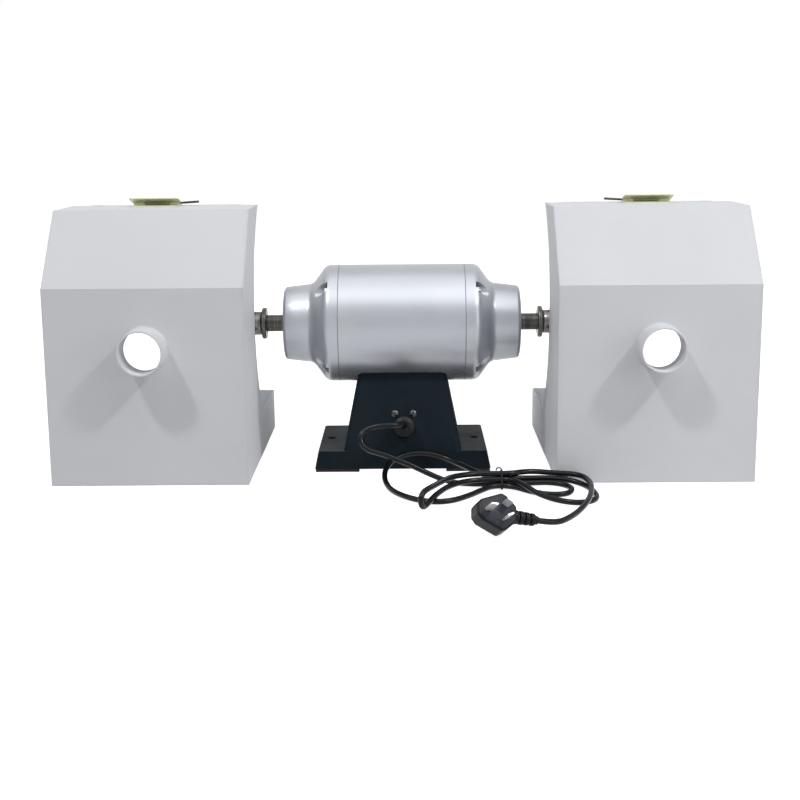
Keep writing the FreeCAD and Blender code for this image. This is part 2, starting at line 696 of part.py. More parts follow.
def cavity_half_size():
    """Half width and half depth of the hollow inside the foot."""
    return COLUMN_BASE_W / 2 - CASTING_WALL, FOOT_D / 2 - CASTING_WALL


def upper_cavity():
    """Hollow of the column, its front and rear walls as thick as the casting wall."""
    wall = CASTING_WALL / math.cos(math.radians(face_lean()))
    sizes = []
    for z in (FOOT_TOP_Z, CAVITY_TOP_Z):
        half_d = min(column_half_depth(z) - wall, FOOT_D / 2 - CASTING_WALL)
        sizes += [column_half_width(z) - CASTING_WALL, half_d, z]
    return frustum(*sizes)


def foot_pads():
    """A rubber strip under each wing of the foot, with the bolt hole through it."""
    pads = []
    for side in (-1, 1):
        outer = FOOT_W / 2 - PAD_INSET
        x0, x1 = sorted((side * PAD_INNER_X, side * outer))
        pad = box(x0, x1, -FOOT_D / 2 + PAD_INSET, FOOT_D / 2 - PAD_INSET, 0, PAD_T)
        pads.append(pad.cut(rod(FOOT_HOLE_R, (side * FOOT_HOLE_SPACING / 2, 0, 0), (0, 0, 1), PAD_T)))
    return pads


def bottom_plate():
    w, d = cavity_half_size()
    lap = PLATE_LAP - BOLT_CLEARANCE
    plate = box(-w - lap, w + lap, -d - lap, d + lap, PAD_T, cavity_floor_z())
    for x, y in plate_screw_places():
        plate = plate.cut(rod(PLATE_SCREW_R + BOLT_CLEARANCE, (x, y, 0), (0, 0, 1), cavity_floor_z()))
    return plate


def bottom_plate_screws():
    screws = []
    for x, y in plate_screw_places():
        head = rod(PLATE_SCREW_HEAD_R, (x, y, PAD_T - PLATE_SCREW_HEAD_H), (0, 0, 1), PLATE_SCREW_HEAD_H)
        screws.append(head.fuse(rod(PLATE_SCREW_R, (x, y, PAD_T), (0, 0, 1), PLATE_SCREW_LENGTH)))
    return screws


def motor_mount_screws():
    """Socket screws from inside the column up into the bosses of the motor shell."""
    screws = []
    low = CAVITY_TOP_Z - MOUNT_SCREW_HEAD_H
    for x, y in mount_places():
        head = rod(MOUNT_SCREW_HEAD_R, (x, y, low), (0, 0, 1), MOUNT_SCREW_HEAD_H)
        socket = rod(MOUNT_SCREW_R * 0.8, (x, y, low), (0, 0, 1), MOUNT_SCREW_HEAD_H / 2)
        shank = rod(MOUNT_SCREW_R, (x, y, CAVITY_TOP_Z), (0, 0, 1), MOUNT_SCREW_LENGTH)
        screws.append(head.cut(socket).fuse(shank))
    return screws


# ---- electrical pieces ---------------------------------------------------------------------------
def capacitor_z():
    return cavity_floor_z() + CAPACITOR_R


def capacitor():
    can = rod(CAPACITOR_R, (-CAPACITOR_L / 2, CAPACITOR_Y, capacitor_z()), (1, 0, 0), CAPACITOR_L)
    stud = 4.0
    for dy in (-1, 1):
        y = CAPACITOR_Y + dy * CAPACITOR_R / 2
        can = can.fuse(rod(stud / 2, (CAPACITOR_L / 2, y, capacitor_z()), (1, 0, 0), 2 * stud))
    return can


def capacitor_clamp():
    """Sheet strap over the capacitor, with a foot each side on the bottom plate."""
    inner = CAPACITOR_R + FIT
    outer = inner + CLAMP_T
    floor, middle = cavity_floor_z(), capacitor_z()

    def arch(radius):
        top = rod(radius, (-CLAMP_W / 2, CAPACITOR_Y, middle), (1, 0, 0), CLAMP_W)
        legs = box(-CLAMP_W / 2, CLAMP_W / 2, CAPACITOR_Y - radius, CAPACITOR_Y + radius, floor, middle)
        return top.common(box(-CLAMP_W, CLAMP_W, -FOOT_D, FOOT_D, middle, COLUMN_TOP_Z)).fuse(legs)

    feet = box(-CLAMP_W / 2, CLAMP_W / 2, CAPACITOR_Y - outer - CLAMP_FOOT, CAPACITOR_Y + outer + CLAMP_FOOT,
               floor, floor + CLAMP_T)
    return arch(outer).fuse(feet).cut(arch(inner)).removeSplitter()


def terminal_block():
    length, depth, height = BLOCK_SIZE
    z0 = cavity_floor_z()
    block = box(-length / 2, length / 2, BLOCK_Y - depth / 2, BLOCK_Y + depth / 2, z0, z0 + height)
    pitch = length / BLOCK_WAYS
    hole_z = z0 + height - BLOCK_SCREW_DEPTH
    for k in range(BLOCK_WAYS):
        x = -length / 2 + pitch * (k + 0.5)
        for y in (BLOCK_Y - depth / 4, BLOCK_Y + depth / 4):
            block = block.cut(rod(BLOCK_SCREW_R, (x, y, hole_z), (0, 0, 1), BLOCK_SCREW_DEPTH))
    return block


def switch_body():
    """Rotary speed switch, clamped inside the column's front wall."""
    width, height, depth = SWITCH_BODY
    body = box(-width / 2, width / 2, -height / 2, height / 2, -CASTING_WALL - depth, -CASTING_WALL - SEAT)
    neck = rod(SWITCH_WALL_HOLE_R - BOLT_CLEARANCE, (0, 0, -CASTING_WALL - 1), (0, 0, 1), CASTING_WALL + 1)
    body = body.fuse(neck)
    deep = SWITCH_BORE_DEPTH + MOVING_GAP
    body = body.cut(rod(SWITCH_SPINDLE_R + FIT, (0, 0, -deep), (0, 0, 1), deep))
    return on_face(body, 0, SWITCH_Z, 1)


def dial_plate():
    plate = rounded_plate(DIAL_W, DIAL_W, DIAL_T, DIAL_CORNER_R)
    plate = plate.cut(rod(DIAL_HOLE_R, (0, 0, -1), (0, 0, 1), DIAL_T + 2))
    return on_face(plate, 0, SWITCH_Z, 1)


def switch_spindle():
    length = SWITCH_BORE_DEPTH + DIAL_T + MOVING_GAP + SPINDLE_IN_KNOB
    return on_face(rod(SWITCH_SPINDLE_R, (0, 0, -SWITCH_BORE_DEPTH), (0, 0, 1), length), 0, SWITCH_Z, 1)


def speed_knob():
    """Round skirt with a bar grip across it, pointing up at rest."""
    z0 = DIAL_T + MOVING_GAP
    skirt = rod(KNOB_SKIRT_R, (0, 0, z0), (0, 0, 1), KNOB_SKIRT_H)
    grip = box(-KNOB_GRIP_W / 2, KNOB_GRIP_W / 2, -KNOB_R, KNOB_R, z0 + KNOB_SKIRT_H, z0 + KNOB_H)
    grip = grip.common(rod(KNOB_R, (0, 0, z0), (0, 0, 1), KNOB_H))
    knob = skirt.fuse(grip)
    knob = knob.cut(rod(SWITCH_SPINDLE_R + FIT, (0, 0, 0), (0, 0, 1), z0 + SPINDLE_IN_KNOB))
    return on_face(knob, 0, SWITCH_Z, 1)


def cord_gland():
    """Gland body: a flange against the rear face, a dome that grips the cord, a thread through the wall."""
    tail = CASTING_WALL + GLAND_NUT_T + 2
    flange = rod(GLAND_FLANGE_R, (0, 0, 0), (0, 0, 1), GLAND_FLANGE_T)
    dome = Part.makeCone(GLAND_DOME_R, GLAND_MOUTH_R, GLAND_DOME_L, V(0, 0, GLAND_FLANGE_T), Z_AXIS)
    thread = rod(GLAND_THREAD_R, (0, 0, -tail), (0, 0, 1), tail)
    body = flange.multiFuse([dome, thread])
    bore = rod(CORD_D / 2 + SEAT, (0, 0, -tail), (0, 0, 1), tail + GLAND_FLANGE_T + GLAND_DOME_L)
    return on_face(body.cut(bore), GLAND_X, GLAND_Z, -1)


def gland_nut():
    start = (0, 0, -CASTING_WALL - GLAND_NUT_T)
    nut = rod(GLAND_NUT_R, start, (0, 0, 1), GLAND_NUT_T - SEAT)
    nut = nut.cut(rod(GLAND_THREAD_R + FIT, start, (0, 0, 1), GLAND_NUT_T))
    return on_face(nut, GLAND_X, GLAND_Z, -1)


def rear_screws():
    """Two cross-head screws that clamp the cord inside the column."""
    screws = []
    for x in REAR_SCREW_X:
        head = rod(REAR_SCREW_HEAD_R, (0, 0, 0), (0, 0, 1), REAR_SCREW_HEAD_H)
        rim = [e for e in head.Edges if e.BoundBox.ZMin > REAR_SCREW_HEAD_H / 2]
        head = head.makeFillet(REAR_SCREW_HEAD_H * 0.6, rim)
        shank = rod(REAR_SCREW_R, (0, 0, -REAR_SCREW_LENGTH), (0, 0, 1), REAR_SCREW_LENGTH)
        screws.append(on_face(head.fuse(shank), x, REAR_SCREW_Z, -1))
    return screws


# ---- cord ----------------------------------------------------------------------------------------
def cord_path(points):
    """Straight runs joined by tangent arcs: the edges in order, and each arc's radius."""
    edges, radii = [], []
    here = points[0]
    for before, corner, after in zip(points, points[1:], points[2:]):
        run_in, run_out = corner - before, after - corner
        reach = RUN_SHARE * min(run_in.Length, run_out.Length)
        way_in, way_out = run_in.normalize(), run_out.normalize()
        turn = way_in.getAngle(way_out)
        radius = reach / math.tan(turn / 2)
        start, end = corner - way_in * reach, corner + way_out * reach
        bisector = (way_out - way_in).normalize()
        centre = corner + bisector * (radius / math.cos(turn / 2))
        middle = centre - bisector * radius
        edges.append(Part.LineSegment(here, start).toShape())
        edges.append(Part.Arc(start, middle, end).toShape())
        radii.append(radius)
        here = end
    edges.append(Part.LineSegment(here, points[-1]).toShape())
    return edges, radii


def mains_cord():
    points = [cord_exit()] + [V(*p) for p in CORD_ROUTE]
    edges, radii = cord_path(points)
    start = edges[0]
    profile = Part.Wire(Part.makeCircle(CORD_D / 2, points[0], start.tangentAt(start.FirstParameter)))
    tube = Part.Wire(edges).makePipeShell([profile], True, False)
    length = sum(edge.Length for edge in edges)
    expected = math.pi * (CORD_D / 2) ** 2 * length
    print("cord length %.0f mm, volume ratio %.4f" % (length, tube.Volume / expected))
    print("cord radii", " ".join("%.0f" % r for r in radii))
    return tube


def cord_exit():
    """Middle of the gland's mouth."""
    mouth = on_face(Part.Vertex(0, 0, GLAND_FLANGE_T + GLAND_DOME_L), GLAND_X, GLAND_Z, -1)
    return mouth.Point


def strands_at_tie():
    """Where the cord passes through the tie, as (y, z)."""
    places = []
    for a, b in zip(CORD_ROUTE, CORD_ROUTE[1:]):
        if (a[0] - TIE_X) * (b[0] - TIE_X) < 0:
            share = (TIE_X - a[0]) / (b[0] - a[0])
            places.append((a[1] + share * (b[1] - a[1]), a[2] + share * (b[2] - a[2])))
    return places


def hull(points):
    """The outer ones of some points, in order round them."""
    start = min(points)
    ring_points, here = [start], start
    while True:
        ahead = next(p for p in points if p != here)
        for p in points:
            cross = (ahead[0] - here[0]) * (p[1] - here[1]) - (ahead[1] - here[1]) * (p[0] - here[0])
            if p != here and cross < 0:
                ahead = p
        if ahead == start:
            return ring_points
        ring_points.append(ahead)
        here = ahead


def cord_tie():
    """Band round the strands of the cord, with its twisted ends bent into an eye on top."""
    strands = strands_at_tie()
    corners = [V(TIE_X - TIE_W / 2, y, z) for y, z in hull(strands)]
    loop = Part.makePolygon(corners + corners[:1])
    inner = CORD_D / 2 + TIE_GAP

    def filled(reach):
        return Part.Face(loop.makeOffset2D(reach)).extrude(V(TIE_W, 0, 0))

    y, z = max(strands, key=lambda place: place[1])
    top = z + inner + TIE_T
    eye = Part.makeTorus(TIE_EYE_R, TIE_EYE_WIRE_R, V(TIE_X - TIE_EYE_R, y, top - TIE_T / 2), Y_AXIS)
    reach = 3 * TIE_EYE_R
    above = box(TIE_X - reach, TIE_X + reach, y - reach, y + reach, top - TIE_T / 2, top + reach)
    return filled(inner + TIE_T).cut(filled(inner)).fuse(eye.common(above))


def plug_place(shape):
    """Lay the plug, built with its blades along +Z, on the floor at the cord's end."""
    copy = shape.copy()
    about_z, back, own = PLUG_TURN
    copy.rotate(ORIGIN, Z_AXIS, own)
    copy.rotate(ORIGIN, X_AXIS, 90 - back)
    copy.rotate(ORIGIN, Z_AXIS, about_z)
    return copy


def plug_side_x():
    return max(x for x, _ in PLUG_HALF_OUTLINE)


def boot_end():
    """Middle of the boot's cord end, in the plug's own frame."""
    return V(plug_side_x() + BOOT_L, 0, PLUG_T / 2)


def plug_shift():
    """Move that puts the boot's end at the end of the cord's route."""
    return V(*CORD_ROUTE[-1]) - plug_place(Part.Vertex(boot_end())).Point


def plug_body():
    """Flat moulded body, its face up: straight sides between rounded corners."""
    half = [V(x, y, 0) for x, y in PLUG_HALF_OUTLINE]
    other = [V(p.x, -p.y, 0) for p in reversed(half)]
    points = half + other
    body = Part.Face(Part.makePolygon(points + points[:1])).extrude(V(0, 0, PLUG_T))
    upright = [e for e in body.Edges if e.BoundBox.ZLength > PLUG_T / 2]
    body = body.makeFillet(PLUG_CORNER_R, upright)
    rims = [e for e in body.Edges if e.BoundBox.ZLength < PLUG_EDGE_R]
    return body.makeFillet(PLUG_EDGE_R, rims)


def plug_boot():
    start = plug_side_x() - BOOT_SINK
    boot = Part.makeCone(BOOT_R, BOOT_END_R, BOOT_L + BOOT_SINK, V(start, 0, PLUG_T / 2), X_AXIS)
    return boot.cut(plug_body())


def plug_blade(place, turn, length):
    blade = box(-BLADE_W / 2, BLADE_W / 2, -BLADE_T / 2, BLADE_T / 2, PLUG_T, PLUG_T + length)
    blade.rotate(ORIGIN, Z_AXIS, turn)
    blade.translate(V(place[0], place[1], 0))
    return blade


def plug_blades():
    """Earth blade opposite the cord, and the two live blades slanted towards it."""
    x, y = LIVE_BLADE_AT
    return [
        plug_blade(EARTH_BLADE_AT, 0, EARTH_BLADE_L),
        plug_blade((x, y), -LIVE_BLADE_TURN, BLADE_L),
        plug_blade((x, -y), LIVE_BLADE_TURN, BLADE_L),
    ]


# ---- hoods: built on the right, then mirrored ----------------------------------------------------
def hood_point(x):
    """Turns (distance from the rear wall, height) into a place at the given X."""
    def place(point):
        return V(x, HOOD_BACK_Y + point[0], point[1])
    return place


def strip(points, thickness):
    """Closed outline of a sheet that follows the points, with its thickness on the right-hand side."""
    inner = []
    for k, here in enumerate(points):
        before = points[k - 1] if k else None
        after = points[k + 1] if k + 1 < len(points) else None
        normals = []
        for a, b in ((before, here), (here, after)):
            if a and b:
                length = math.dist(a, b)
                normals.append(((b[1] - a[1]) / length, (a[0] - b[0]) / length))
        if len(normals) == 1:
            nx, ny = normals[0]
            inner.append((here[0] + nx * thickness, here[1] + ny * thickness))
        else:
            (ax, ay), (bx, by) = normals
            grow = thickness / (1 + ax * bx + ay * by)
            inner.append((here[0] + (ax + bx) * grow, here[1] + (ay + by) * grow))
    return points + inner[::-1]


def sheet(points, x0, x1):
    loop = strip(points, HOOD_SHEET)
    face = outline(loop[0], loop[1:], hood_point(x0))
    return face.extrude(V(x1 - x0, 0, 0))


def hood_sides():
    """X of the hood's two outer faces, the one beside the motor first."""
    return HOOD_CENTRE_X - HOOD_W / 2, HOOD_CENTRE_X + HOOD_W / 2


def hood_shell():
    """Rear wall, sloped panel and top, bent from one sheet."""
    near, far = hood_sides()
    points = [(0, HOOD_SHEET), (0, HOOD_BACK_H), (HOOD_TOP_START, HOOD_TOP_H), (HOOD_TOP_END, HOOD_TOP_H)]
    shell = sheet(points, near + HOOD_SHEET, far - HOOD_SHEET)
    hole = rod(SPIGOT_R + FIT, (HOOD_CENTRE_X, HOOD_BACK_Y - 1, SPIGOT_Z), (0, 1, 0), HOOD_SHEET + 2)
    shell = shell.cut(hole)
    for x, y in hinge_screw_places():
        shell = shell.cut(rod(HINGE_SCREW_R + FIT, (x, y, HOOD_TOP_H - HOOD_SHEET), (0, 0, 1), HOOD_SHEET))
    return shell


def hood_tray():
    """Floor and front lip, bent from one sheet."""
    near, far = hood_sides()
    points = [(HOOD_DEPTH, HOOD_TRAY_H), (HOOD_DEPTH, 0), (0, 0)]
    return sheet(points, near + HOOD_SHEET, far - HOOD_SHEET)


def hood_side(x0):
    """Flat side panel with the round bite in its front edge."""
    start = (0, 0)
    steps = [(0, HOOD_BACK_H), (HOOD_TOP_START, HOOD_TOP_H), (HOOD_TOP_END, HOOD_TOP_H),
             (HOOD_BITE_MID, (HOOD_TRAY_START, HOOD_TRAY_H)), (HOOD_DEPTH, HOOD_TRAY_H), (HOOD_DEPTH, 0)]
    return outline(start, steps, hood_point(x0)).extrude(V(HOOD_SHEET, 0, 0))


def duct_spigot():
    """Tube through the rear wall, with the weld that holds it there."""
    start = (HOOD_CENTRE_X, HOOD_BACK_Y - SPIGOT_REACH, SPIGOT_Z)
    length = SPIGOT_REACH + HOOD_SHEET
    weld = Part.makeCone(SPIGOT_R, SPIGOT_R + SPIGOT_WELD, SPIGOT_WELD,
                         V(HOOD_CENTRE_X, HOOD_BACK_Y - SPIGOT_WELD, SPIGOT_Z), Y_AXIS)
    tube = rod(SPIGOT_R, start, (0, 1, 0), length).fuse(weld)
    return tube.cut(rod(SPIGOT_R - SPIGOT_WALL, start, (0, 1, 0), length))


def pin_yz():
    return HOOD_BACK_Y + HINGE_PIN_Y, HOOD_TOP_H + HINGE_PIN_LIFT


def hinge_middle_x():
    return HOOD_CENTRE_X + HINGE_OFFSET


def hinge_screw_places():
    y = HOOD_BACK_Y + HINGE_PIN_Y - HINGE_LEAF_D / 2
    return [(hinge_middle_x() + side * HINGE_SCREW_X, y) for side in (-1, 1)]


def barrel(x0, x1, bore):
    y, z = pin_yz()
    outer = rod(HINGE_BARREL_R, (x0, y, z), (1, 0, 0), x1 - x0)
    return outer.cut(rod(bore, (x0 - 1, y, z), (1, 0, 0), x1 - x0 + 2))


def hinge_span():
    return hinge_middle_x() - HINGE_W / 2, hinge_middle_x() + HINGE_W / 2


def screw_head(radius, place):
    """Countersunk head of a hinge screw, flush with the leaf."""
    low = V(*place, HOOD_TOP_H + HINGE_T - HINGE_SCREW_HEAD_H)
    return Part.makeCone(HINGE_SCREW_R, radius, HINGE_SCREW_HEAD_H, low, Z_AXIS)


def hinge_leaf():
    """Fixed leaf on the hood's top, with a knuckle at each end."""
    x0, x1 = hinge_span()
    y, z = pin_yz()
    leaf = box(x0, x1, y - HINGE_LEAF_D, y, HOOD_TOP_H, HOOD_TOP_H + HINGE_T)
    room = box(x0 + HINGE_KNUCKLE_W, x1 - HINGE_KNUCKLE_W, y - HINGE_BARREL_R - MOVING_GAP, y + 1,
               HOOD_TOP_H - 1, z)
    leaf = leaf.cut(room)
    for a, b in ((x0, x0 + HINGE_KNUCKLE_W), (x1 - HINGE_KNUCKLE_W, x1)):
        knuckle = barrel(a, b, HINGE_PIN_R + FIT)
        web = box(a, b, y - HINGE_BARREL_R, y, HOOD_TOP_H, z)
        web = web.cut(rod(HINGE_PIN_R + FIT, (a - 1, y, z), (1, 0, 0), b - a + 2))
        leaf = leaf.multiFuse([knuckle, web])
    for place in hinge_screw_places():
        leaf = leaf.cut(rod(HINGE_SCREW_R + FIT, (*place, HOOD_TOP_H), (0, 0, 1), 2 * HINGE_T))
        leaf = leaf.cut(screw_head(HINGE_SCREW_HEAD_R + FIT, place))
    return leaf.removeSplitter()


def hinge_pin():
    """Wire pin through the knuckles; its tail sticks out towards the motor and rises a little."""
    x0, x1 = hinge_span()
    y, z = pin_yz()
    straight = rod(HINGE_PIN_R, (x0, y, z), (1, 0, 0), x1 - x0 + 1)
    tail = math.hypot(HINGE_TAIL, HINGE_TAIL_RISE)
    bent = rod(HINGE_PIN_R, (x0, y, z), (-HINGE_TAIL, 0, HINGE_TAIL_RISE), tail)
    elbow = Part.makeSphere(HINGE_PIN_R, V(x0, y, z))
    return straight.multiFuse([bent, elbow])


def hinge_screws():
    screws = []
    for place in hinge_screw_places():
        tip = HOOD_TOP_H + HINGE_T - HINGE_SCREW_LENGTH
        shank = rod(HINGE_SCREW_R, (*place, tip), (0, 0, 1), HINGE_SCREW_LENGTH - HINGE_SCREW_HEAD_H)
        screws.append(shank.fuse(screw_head(HINGE_SCREW_HEAD_R, place)))
    return screws


def tilted(shape):
    """Turn a piece that is built level, forward of the pin, down to the shield's rest angle."""
    y, z = pin_yz()
    copy = shape.copy()
    copy.rotate(V(0, y, z), X_AXIS, -SHIELD_TILT)
    return copy


def arm_level():
    """Underside and top of the rocker's plate, which is in line with the pin."""
    z = pin_yz()[1]
    return z - HINGE_T / 2, z + HINGE_T / 2


def shield_arm():
    """One bent plate: a barrel round the pin, a tab that rises behind it and an arm in front."""
    x0, x1 = hinge_span()
    y, z = pin_yz()
    low, top = arm_level()
    a, b = x0 + HINGE_KNUCKLE_W + MOVING_GAP, x1 - HINGE_KNUCKLE_W - MOVING_GAP
    clear = HINGE_BARREL_R + 2 * MOVING_GAP
    tab_x0 = hinge_middle_x() - TAB_W / 2
    plate = box(a, b, y - clear - 1, y + clear + 1, low, top)
    tab = box(tab_x0, tab_x0 + TAB_W, y - TAB_REACH, y - clear, low, top)
    arm = box(x0, x1, y + clear, y + ARM_REACH, low, top)
    plate = plate.multiFuse([tab, arm, rod(HINGE_BARREL_R, (a, y, z), (1, 0, 0), b - a)])
    plate = plate.cut(rod(HINGE_PIN_R + FIT, (a - 1, y, z), (1, 0, 0), b - a + 2))
    return tilted(plate.removeSplitter())


def shield():
    """Clear sheet bonded under the arm, over the hood's open front."""
    y = pin_yz()[0]
    plate = rounded_plate(SHIELD_W, SHIELD_L, SHIELD_T, SHIELD_CORNER_R)
    plate.translate(V(HOOD_CENTRE_X, y + SHIELD_START + SHIELD_L / 2, arm_level()[0] - SHIELD_T))
    return tilted(plate)


def build():
    save("motor_shell", motor_shell())
    right_bell = end_bell()
    save("end_bell_right", right_bell)
    save("end_bell_left", mirrored(right_bell))
    save("through_bolts", *through_bolts())
    save("stator_core", stator_core())
    save("stator_windings", stator_windings())
    save("rotor_core", rotor_core())
    save("rotor_end_rings", rotor_end_ring(), mirrored(rotor_end_ring()))
    save("motor_shaft", motor_shaft())
    save("bearing_outer_races", bearing_outer_race(), mirrored(bearing_outer_race()))
    save("bearing_inner_races", bearing_inner_race(), mirrored(bearing_inner_race()))
    save("bearing_balls", *bearing_balls(), *[mirrored(ball) for ball in bearing_balls()])
    save("shaft_seals", shaft_seal(), mirrored(shaft_seal()))
    save("spindle_flanges", spindle_flange(), mirrored(spindle_flange()))
    save("spindle_right", spindle())
    save("spindle_left", mirrored(spindle()))
    save("spindle_set_screws", *set_screws(), *[mirrored(screw) for screw in set_screws()])

    save("pedestal", pedestal())
    save("foot_pads", *foot_pads())
    save("bottom_plate", bottom_plate())
    save("bottom_plate_screws", *bottom_plate_screws())
    save("motor_mount_screws", *motor_mount_screws())
    save("capacitor", capacitor())
    save("capacitor_clamp", capacitor_clamp())
    save("terminal_block", terminal_block())
    save("switch_body", switch_body())
    save("dial_plate", dial_plate())
    save("switch_spindle", switch_spindle())
    save("speed_knob", speed_knob())
    save("cord_gland", cord_gland())
    save("gland_nut", gland_nut())
    save("rear_screws", *rear_screws())

    save("mains_cord", mains_cord())
    save("cord_tie", cord_tie())
    shift = plug_shift()
    plug = {"plug_body": [plug_body()], "plug_boot": [plug_boot()], "plug_blades": plug_blades()}
    for name, solids in plug.items():
        placed = [plug_place(solid) for solid in solids]
        for solid in placed:
            solid.translate(shift)
        save(name, *placed)

    near, far = hood_sides()
    hood = {
        "hood_shell": [hood_shell()],
        "hood_tray": [hood_tray()],
        "hood_inner_side": [hood_side(near)],
        "hood_outer_side": [hood_side(far - HOOD_SHEET)],
        "duct_spigot": [duct_spigot()],
        "hinge_leaf": [hinge_leaf()],
        "hinge_pin": [hinge_pin()],
        "hinge_screws": hinge_screws(),
        "shield_arm": [shield_arm()],
        "shield": [shield()],
    }
    for name, solids in hood.items():
        save("right_" + name, *solids)
        save("left_" + name, *[mirrored(solid) for solid in solids])


def main():
    build()
    os.makedirs("parts", exist_ok=True)
    for name, shape in NODES.items():
        if not shape.isValid():
            print("not valid:", name)
        shape.exportStep("parts/%s.step" % name)
    print(len(NODES), "nodes")


main()
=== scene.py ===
"""Dental polishing lathe: a motor with two spindles on a pedestal, two dust hoods and a mains lead."""
import json
import math

import bmesh
import bpy
from mathutils import Matrix, Vector

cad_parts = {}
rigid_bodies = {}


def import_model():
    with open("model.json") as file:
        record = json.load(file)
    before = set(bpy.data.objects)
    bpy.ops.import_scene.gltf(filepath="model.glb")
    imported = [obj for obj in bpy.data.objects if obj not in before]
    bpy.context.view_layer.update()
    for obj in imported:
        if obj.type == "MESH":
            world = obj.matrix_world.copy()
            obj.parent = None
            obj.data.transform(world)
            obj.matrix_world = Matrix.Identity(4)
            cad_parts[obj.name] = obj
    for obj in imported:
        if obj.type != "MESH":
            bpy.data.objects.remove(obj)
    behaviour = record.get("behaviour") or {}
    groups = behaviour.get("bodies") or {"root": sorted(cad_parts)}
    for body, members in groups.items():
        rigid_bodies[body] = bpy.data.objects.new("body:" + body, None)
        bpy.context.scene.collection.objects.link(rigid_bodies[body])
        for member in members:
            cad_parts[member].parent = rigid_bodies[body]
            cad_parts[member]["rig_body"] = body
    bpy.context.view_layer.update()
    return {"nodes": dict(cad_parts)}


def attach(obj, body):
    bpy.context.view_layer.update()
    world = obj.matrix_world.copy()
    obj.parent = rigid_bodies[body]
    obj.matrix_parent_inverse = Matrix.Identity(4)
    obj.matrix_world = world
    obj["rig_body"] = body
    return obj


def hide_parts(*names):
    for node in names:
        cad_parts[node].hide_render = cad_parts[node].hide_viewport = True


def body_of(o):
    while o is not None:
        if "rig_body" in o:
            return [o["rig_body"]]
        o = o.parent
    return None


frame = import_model()
nodes = frame["nodes"]
scene = bpy.context.scene
scene.view_settings.view_transform = "Standard"

# ---- studio ---------------------------------------------------------------------------------------
# A white sweep of floor under two lamps that hang behind the lathe, one on each side. Weaker lights lift
# the shade, one of them on the operator's side, and a card overhead is mirrored along the motor. The
# camera stands behind the lathe, just above its hoods.


def add(tree, kind, links=None, **settings):
    """One node of a tree, with its settings, and its sockets set to values or linked from others."""
    node = tree.nodes.new(kind)
    for key, value in settings.items():
        setattr(node, key, value)
    for key, value in (links or {}).items():
        if isinstance(value, bpy.types.NodeSocket):
            tree.links.new(value, node.inputs[key])
        else:
            node.inputs[key].default_value = value
    return node


def calculated(tree, operation, *terms):
    """What a Math node makes of its terms."""
    return add(tree, "ShaderNodeMath", dict(enumerate(terms)), operation=operation).outputs[0]


def seen_directly(tree):
    """1 for camera, mirror and glass rays, and 0 for the light that falls on things."""
    path = add(tree, "ShaderNodeLightPath").outputs
    eye_or_mirror = calculated(tree, "MAXIMUM", path["Is Camera Ray"], path["Is Glossy Ray"])
    return calculated(tree, "MAXIMUM", eye_or_mirror, path["Is Transmission Ray"])


def empty_tree(owner):
    """The node tree of a world or a material, with nothing in it."""
    owner.use_nodes = True
    owner.node_tree.nodes.clear()
    return owner.node_tree


def linked(name, data):
    """An object made from its data and put in the scene."""
    thing = bpy.data.objects.new(name, data)
    scene.collection.objects.link(thing)
    return thing


def frame_at(place, across, up, out):
    """The frame of a thing at a place, from its own X, Y and Z directions."""
    return Matrix.Translation(place) @ Matrix((across, up, out)).transposed().to_4x4()


white = (1, 1, 1, 1)
sky_light = 0.19
world = bpy.data.worlds.new("studio")
scene.world = world
sky = empty_tree(world)
sky_level = add(sky, "ShaderNodeMix", {0: seen_directly(sky), 2: sky_light, 3: 1.0})
backdrop = add(sky, "ShaderNodeBackground", {"Color": white, "Strength": sky_level.outputs[0]})
add(sky, "ShaderNodeOutputWorld", {"Surface": backdrop.outputs[0]})

floor_half = 40.0
floor_corners = [(x * floor_half, y * floor_half, 0) for x, y in ((-1, -1), (1, -1), (1, 1), (-1, 1))]
floor_mesh = bpy.data.meshes.new("floor")
floor_mesh.from_pydata(floor_corners, [], [(0, 1, 2, 3)])
linked("floor", floor_mesh)

floor_colour = (0.66, 0.66, 0.66, 1)
floor_glow = 0.87
sweep = bpy.data.materials.new("white sweep")
tree = empty_tree(sweep)
card = add(tree, "ShaderNodeBsdfDiffuse", {"Color": floor_colour})
glow = add(tree, "ShaderNodeEmission", {"Color": white, "Strength": floor_glow})
lit_card = add(tree, "ShaderNodeAddShader", {0: card.outputs[0], 1: glow.outputs[0]})
blended = add(tree, "ShaderNodeMixShader",
              {0: seen_directly(tree), 1: card.outputs[0], 2: lit_card.outputs[0]})
add(tree, "ShaderNodeOutputMaterial", {"Surface": blended.outputs[0]})
floor_mesh.materials.append(sweep)


def lamp(name, place, target, size, power, lights=True, mirrored=True):
    """A round soft lamp turned to its target. It lights things, is mirrored in them, or both."""
    data = bpy.data.lights.new(name, "AREA")
    data.shape = "DISK"
    data.size = size
    data.energy = power
    holder = linked(name, data)
    holder.location = place
    holder.rotation_euler = (Vector(target) - Vector(place)).to_track_quat("-Z", "Y").to_euler()
    holder.visible_diffuse = lights
    holder.visible_glossy = mirrored


middle = (0, 0, 0.17)
right_of_middle = (0.1, 0, 0.17)
lamp("right lamp", (2.10, -1.30, 2.64), middle, size=0.34, power=35)
lamp("left lamp", (-2.50, -2.28, 5.00), middle, size=0.50, power=102)
lamp("soft box", (0.9, -1.3, 2.9), right_of_middle, size=2.4, power=15)
lamp("overhead card", (0.1, -0.6, 2.9), middle, size=3.8, power=38, lights=False)
lamp("right fill", (1.9, -1.4, 0.7), right_of_middle, size=1.2, power=7)
lamp("left end light", (-2.4, 0.1, 2.0), middle, size=1.2, power=7)
lamp("light in front", (-0.4, 3.2, 1.5), middle, size=2.0, power=26, mirrored=False)

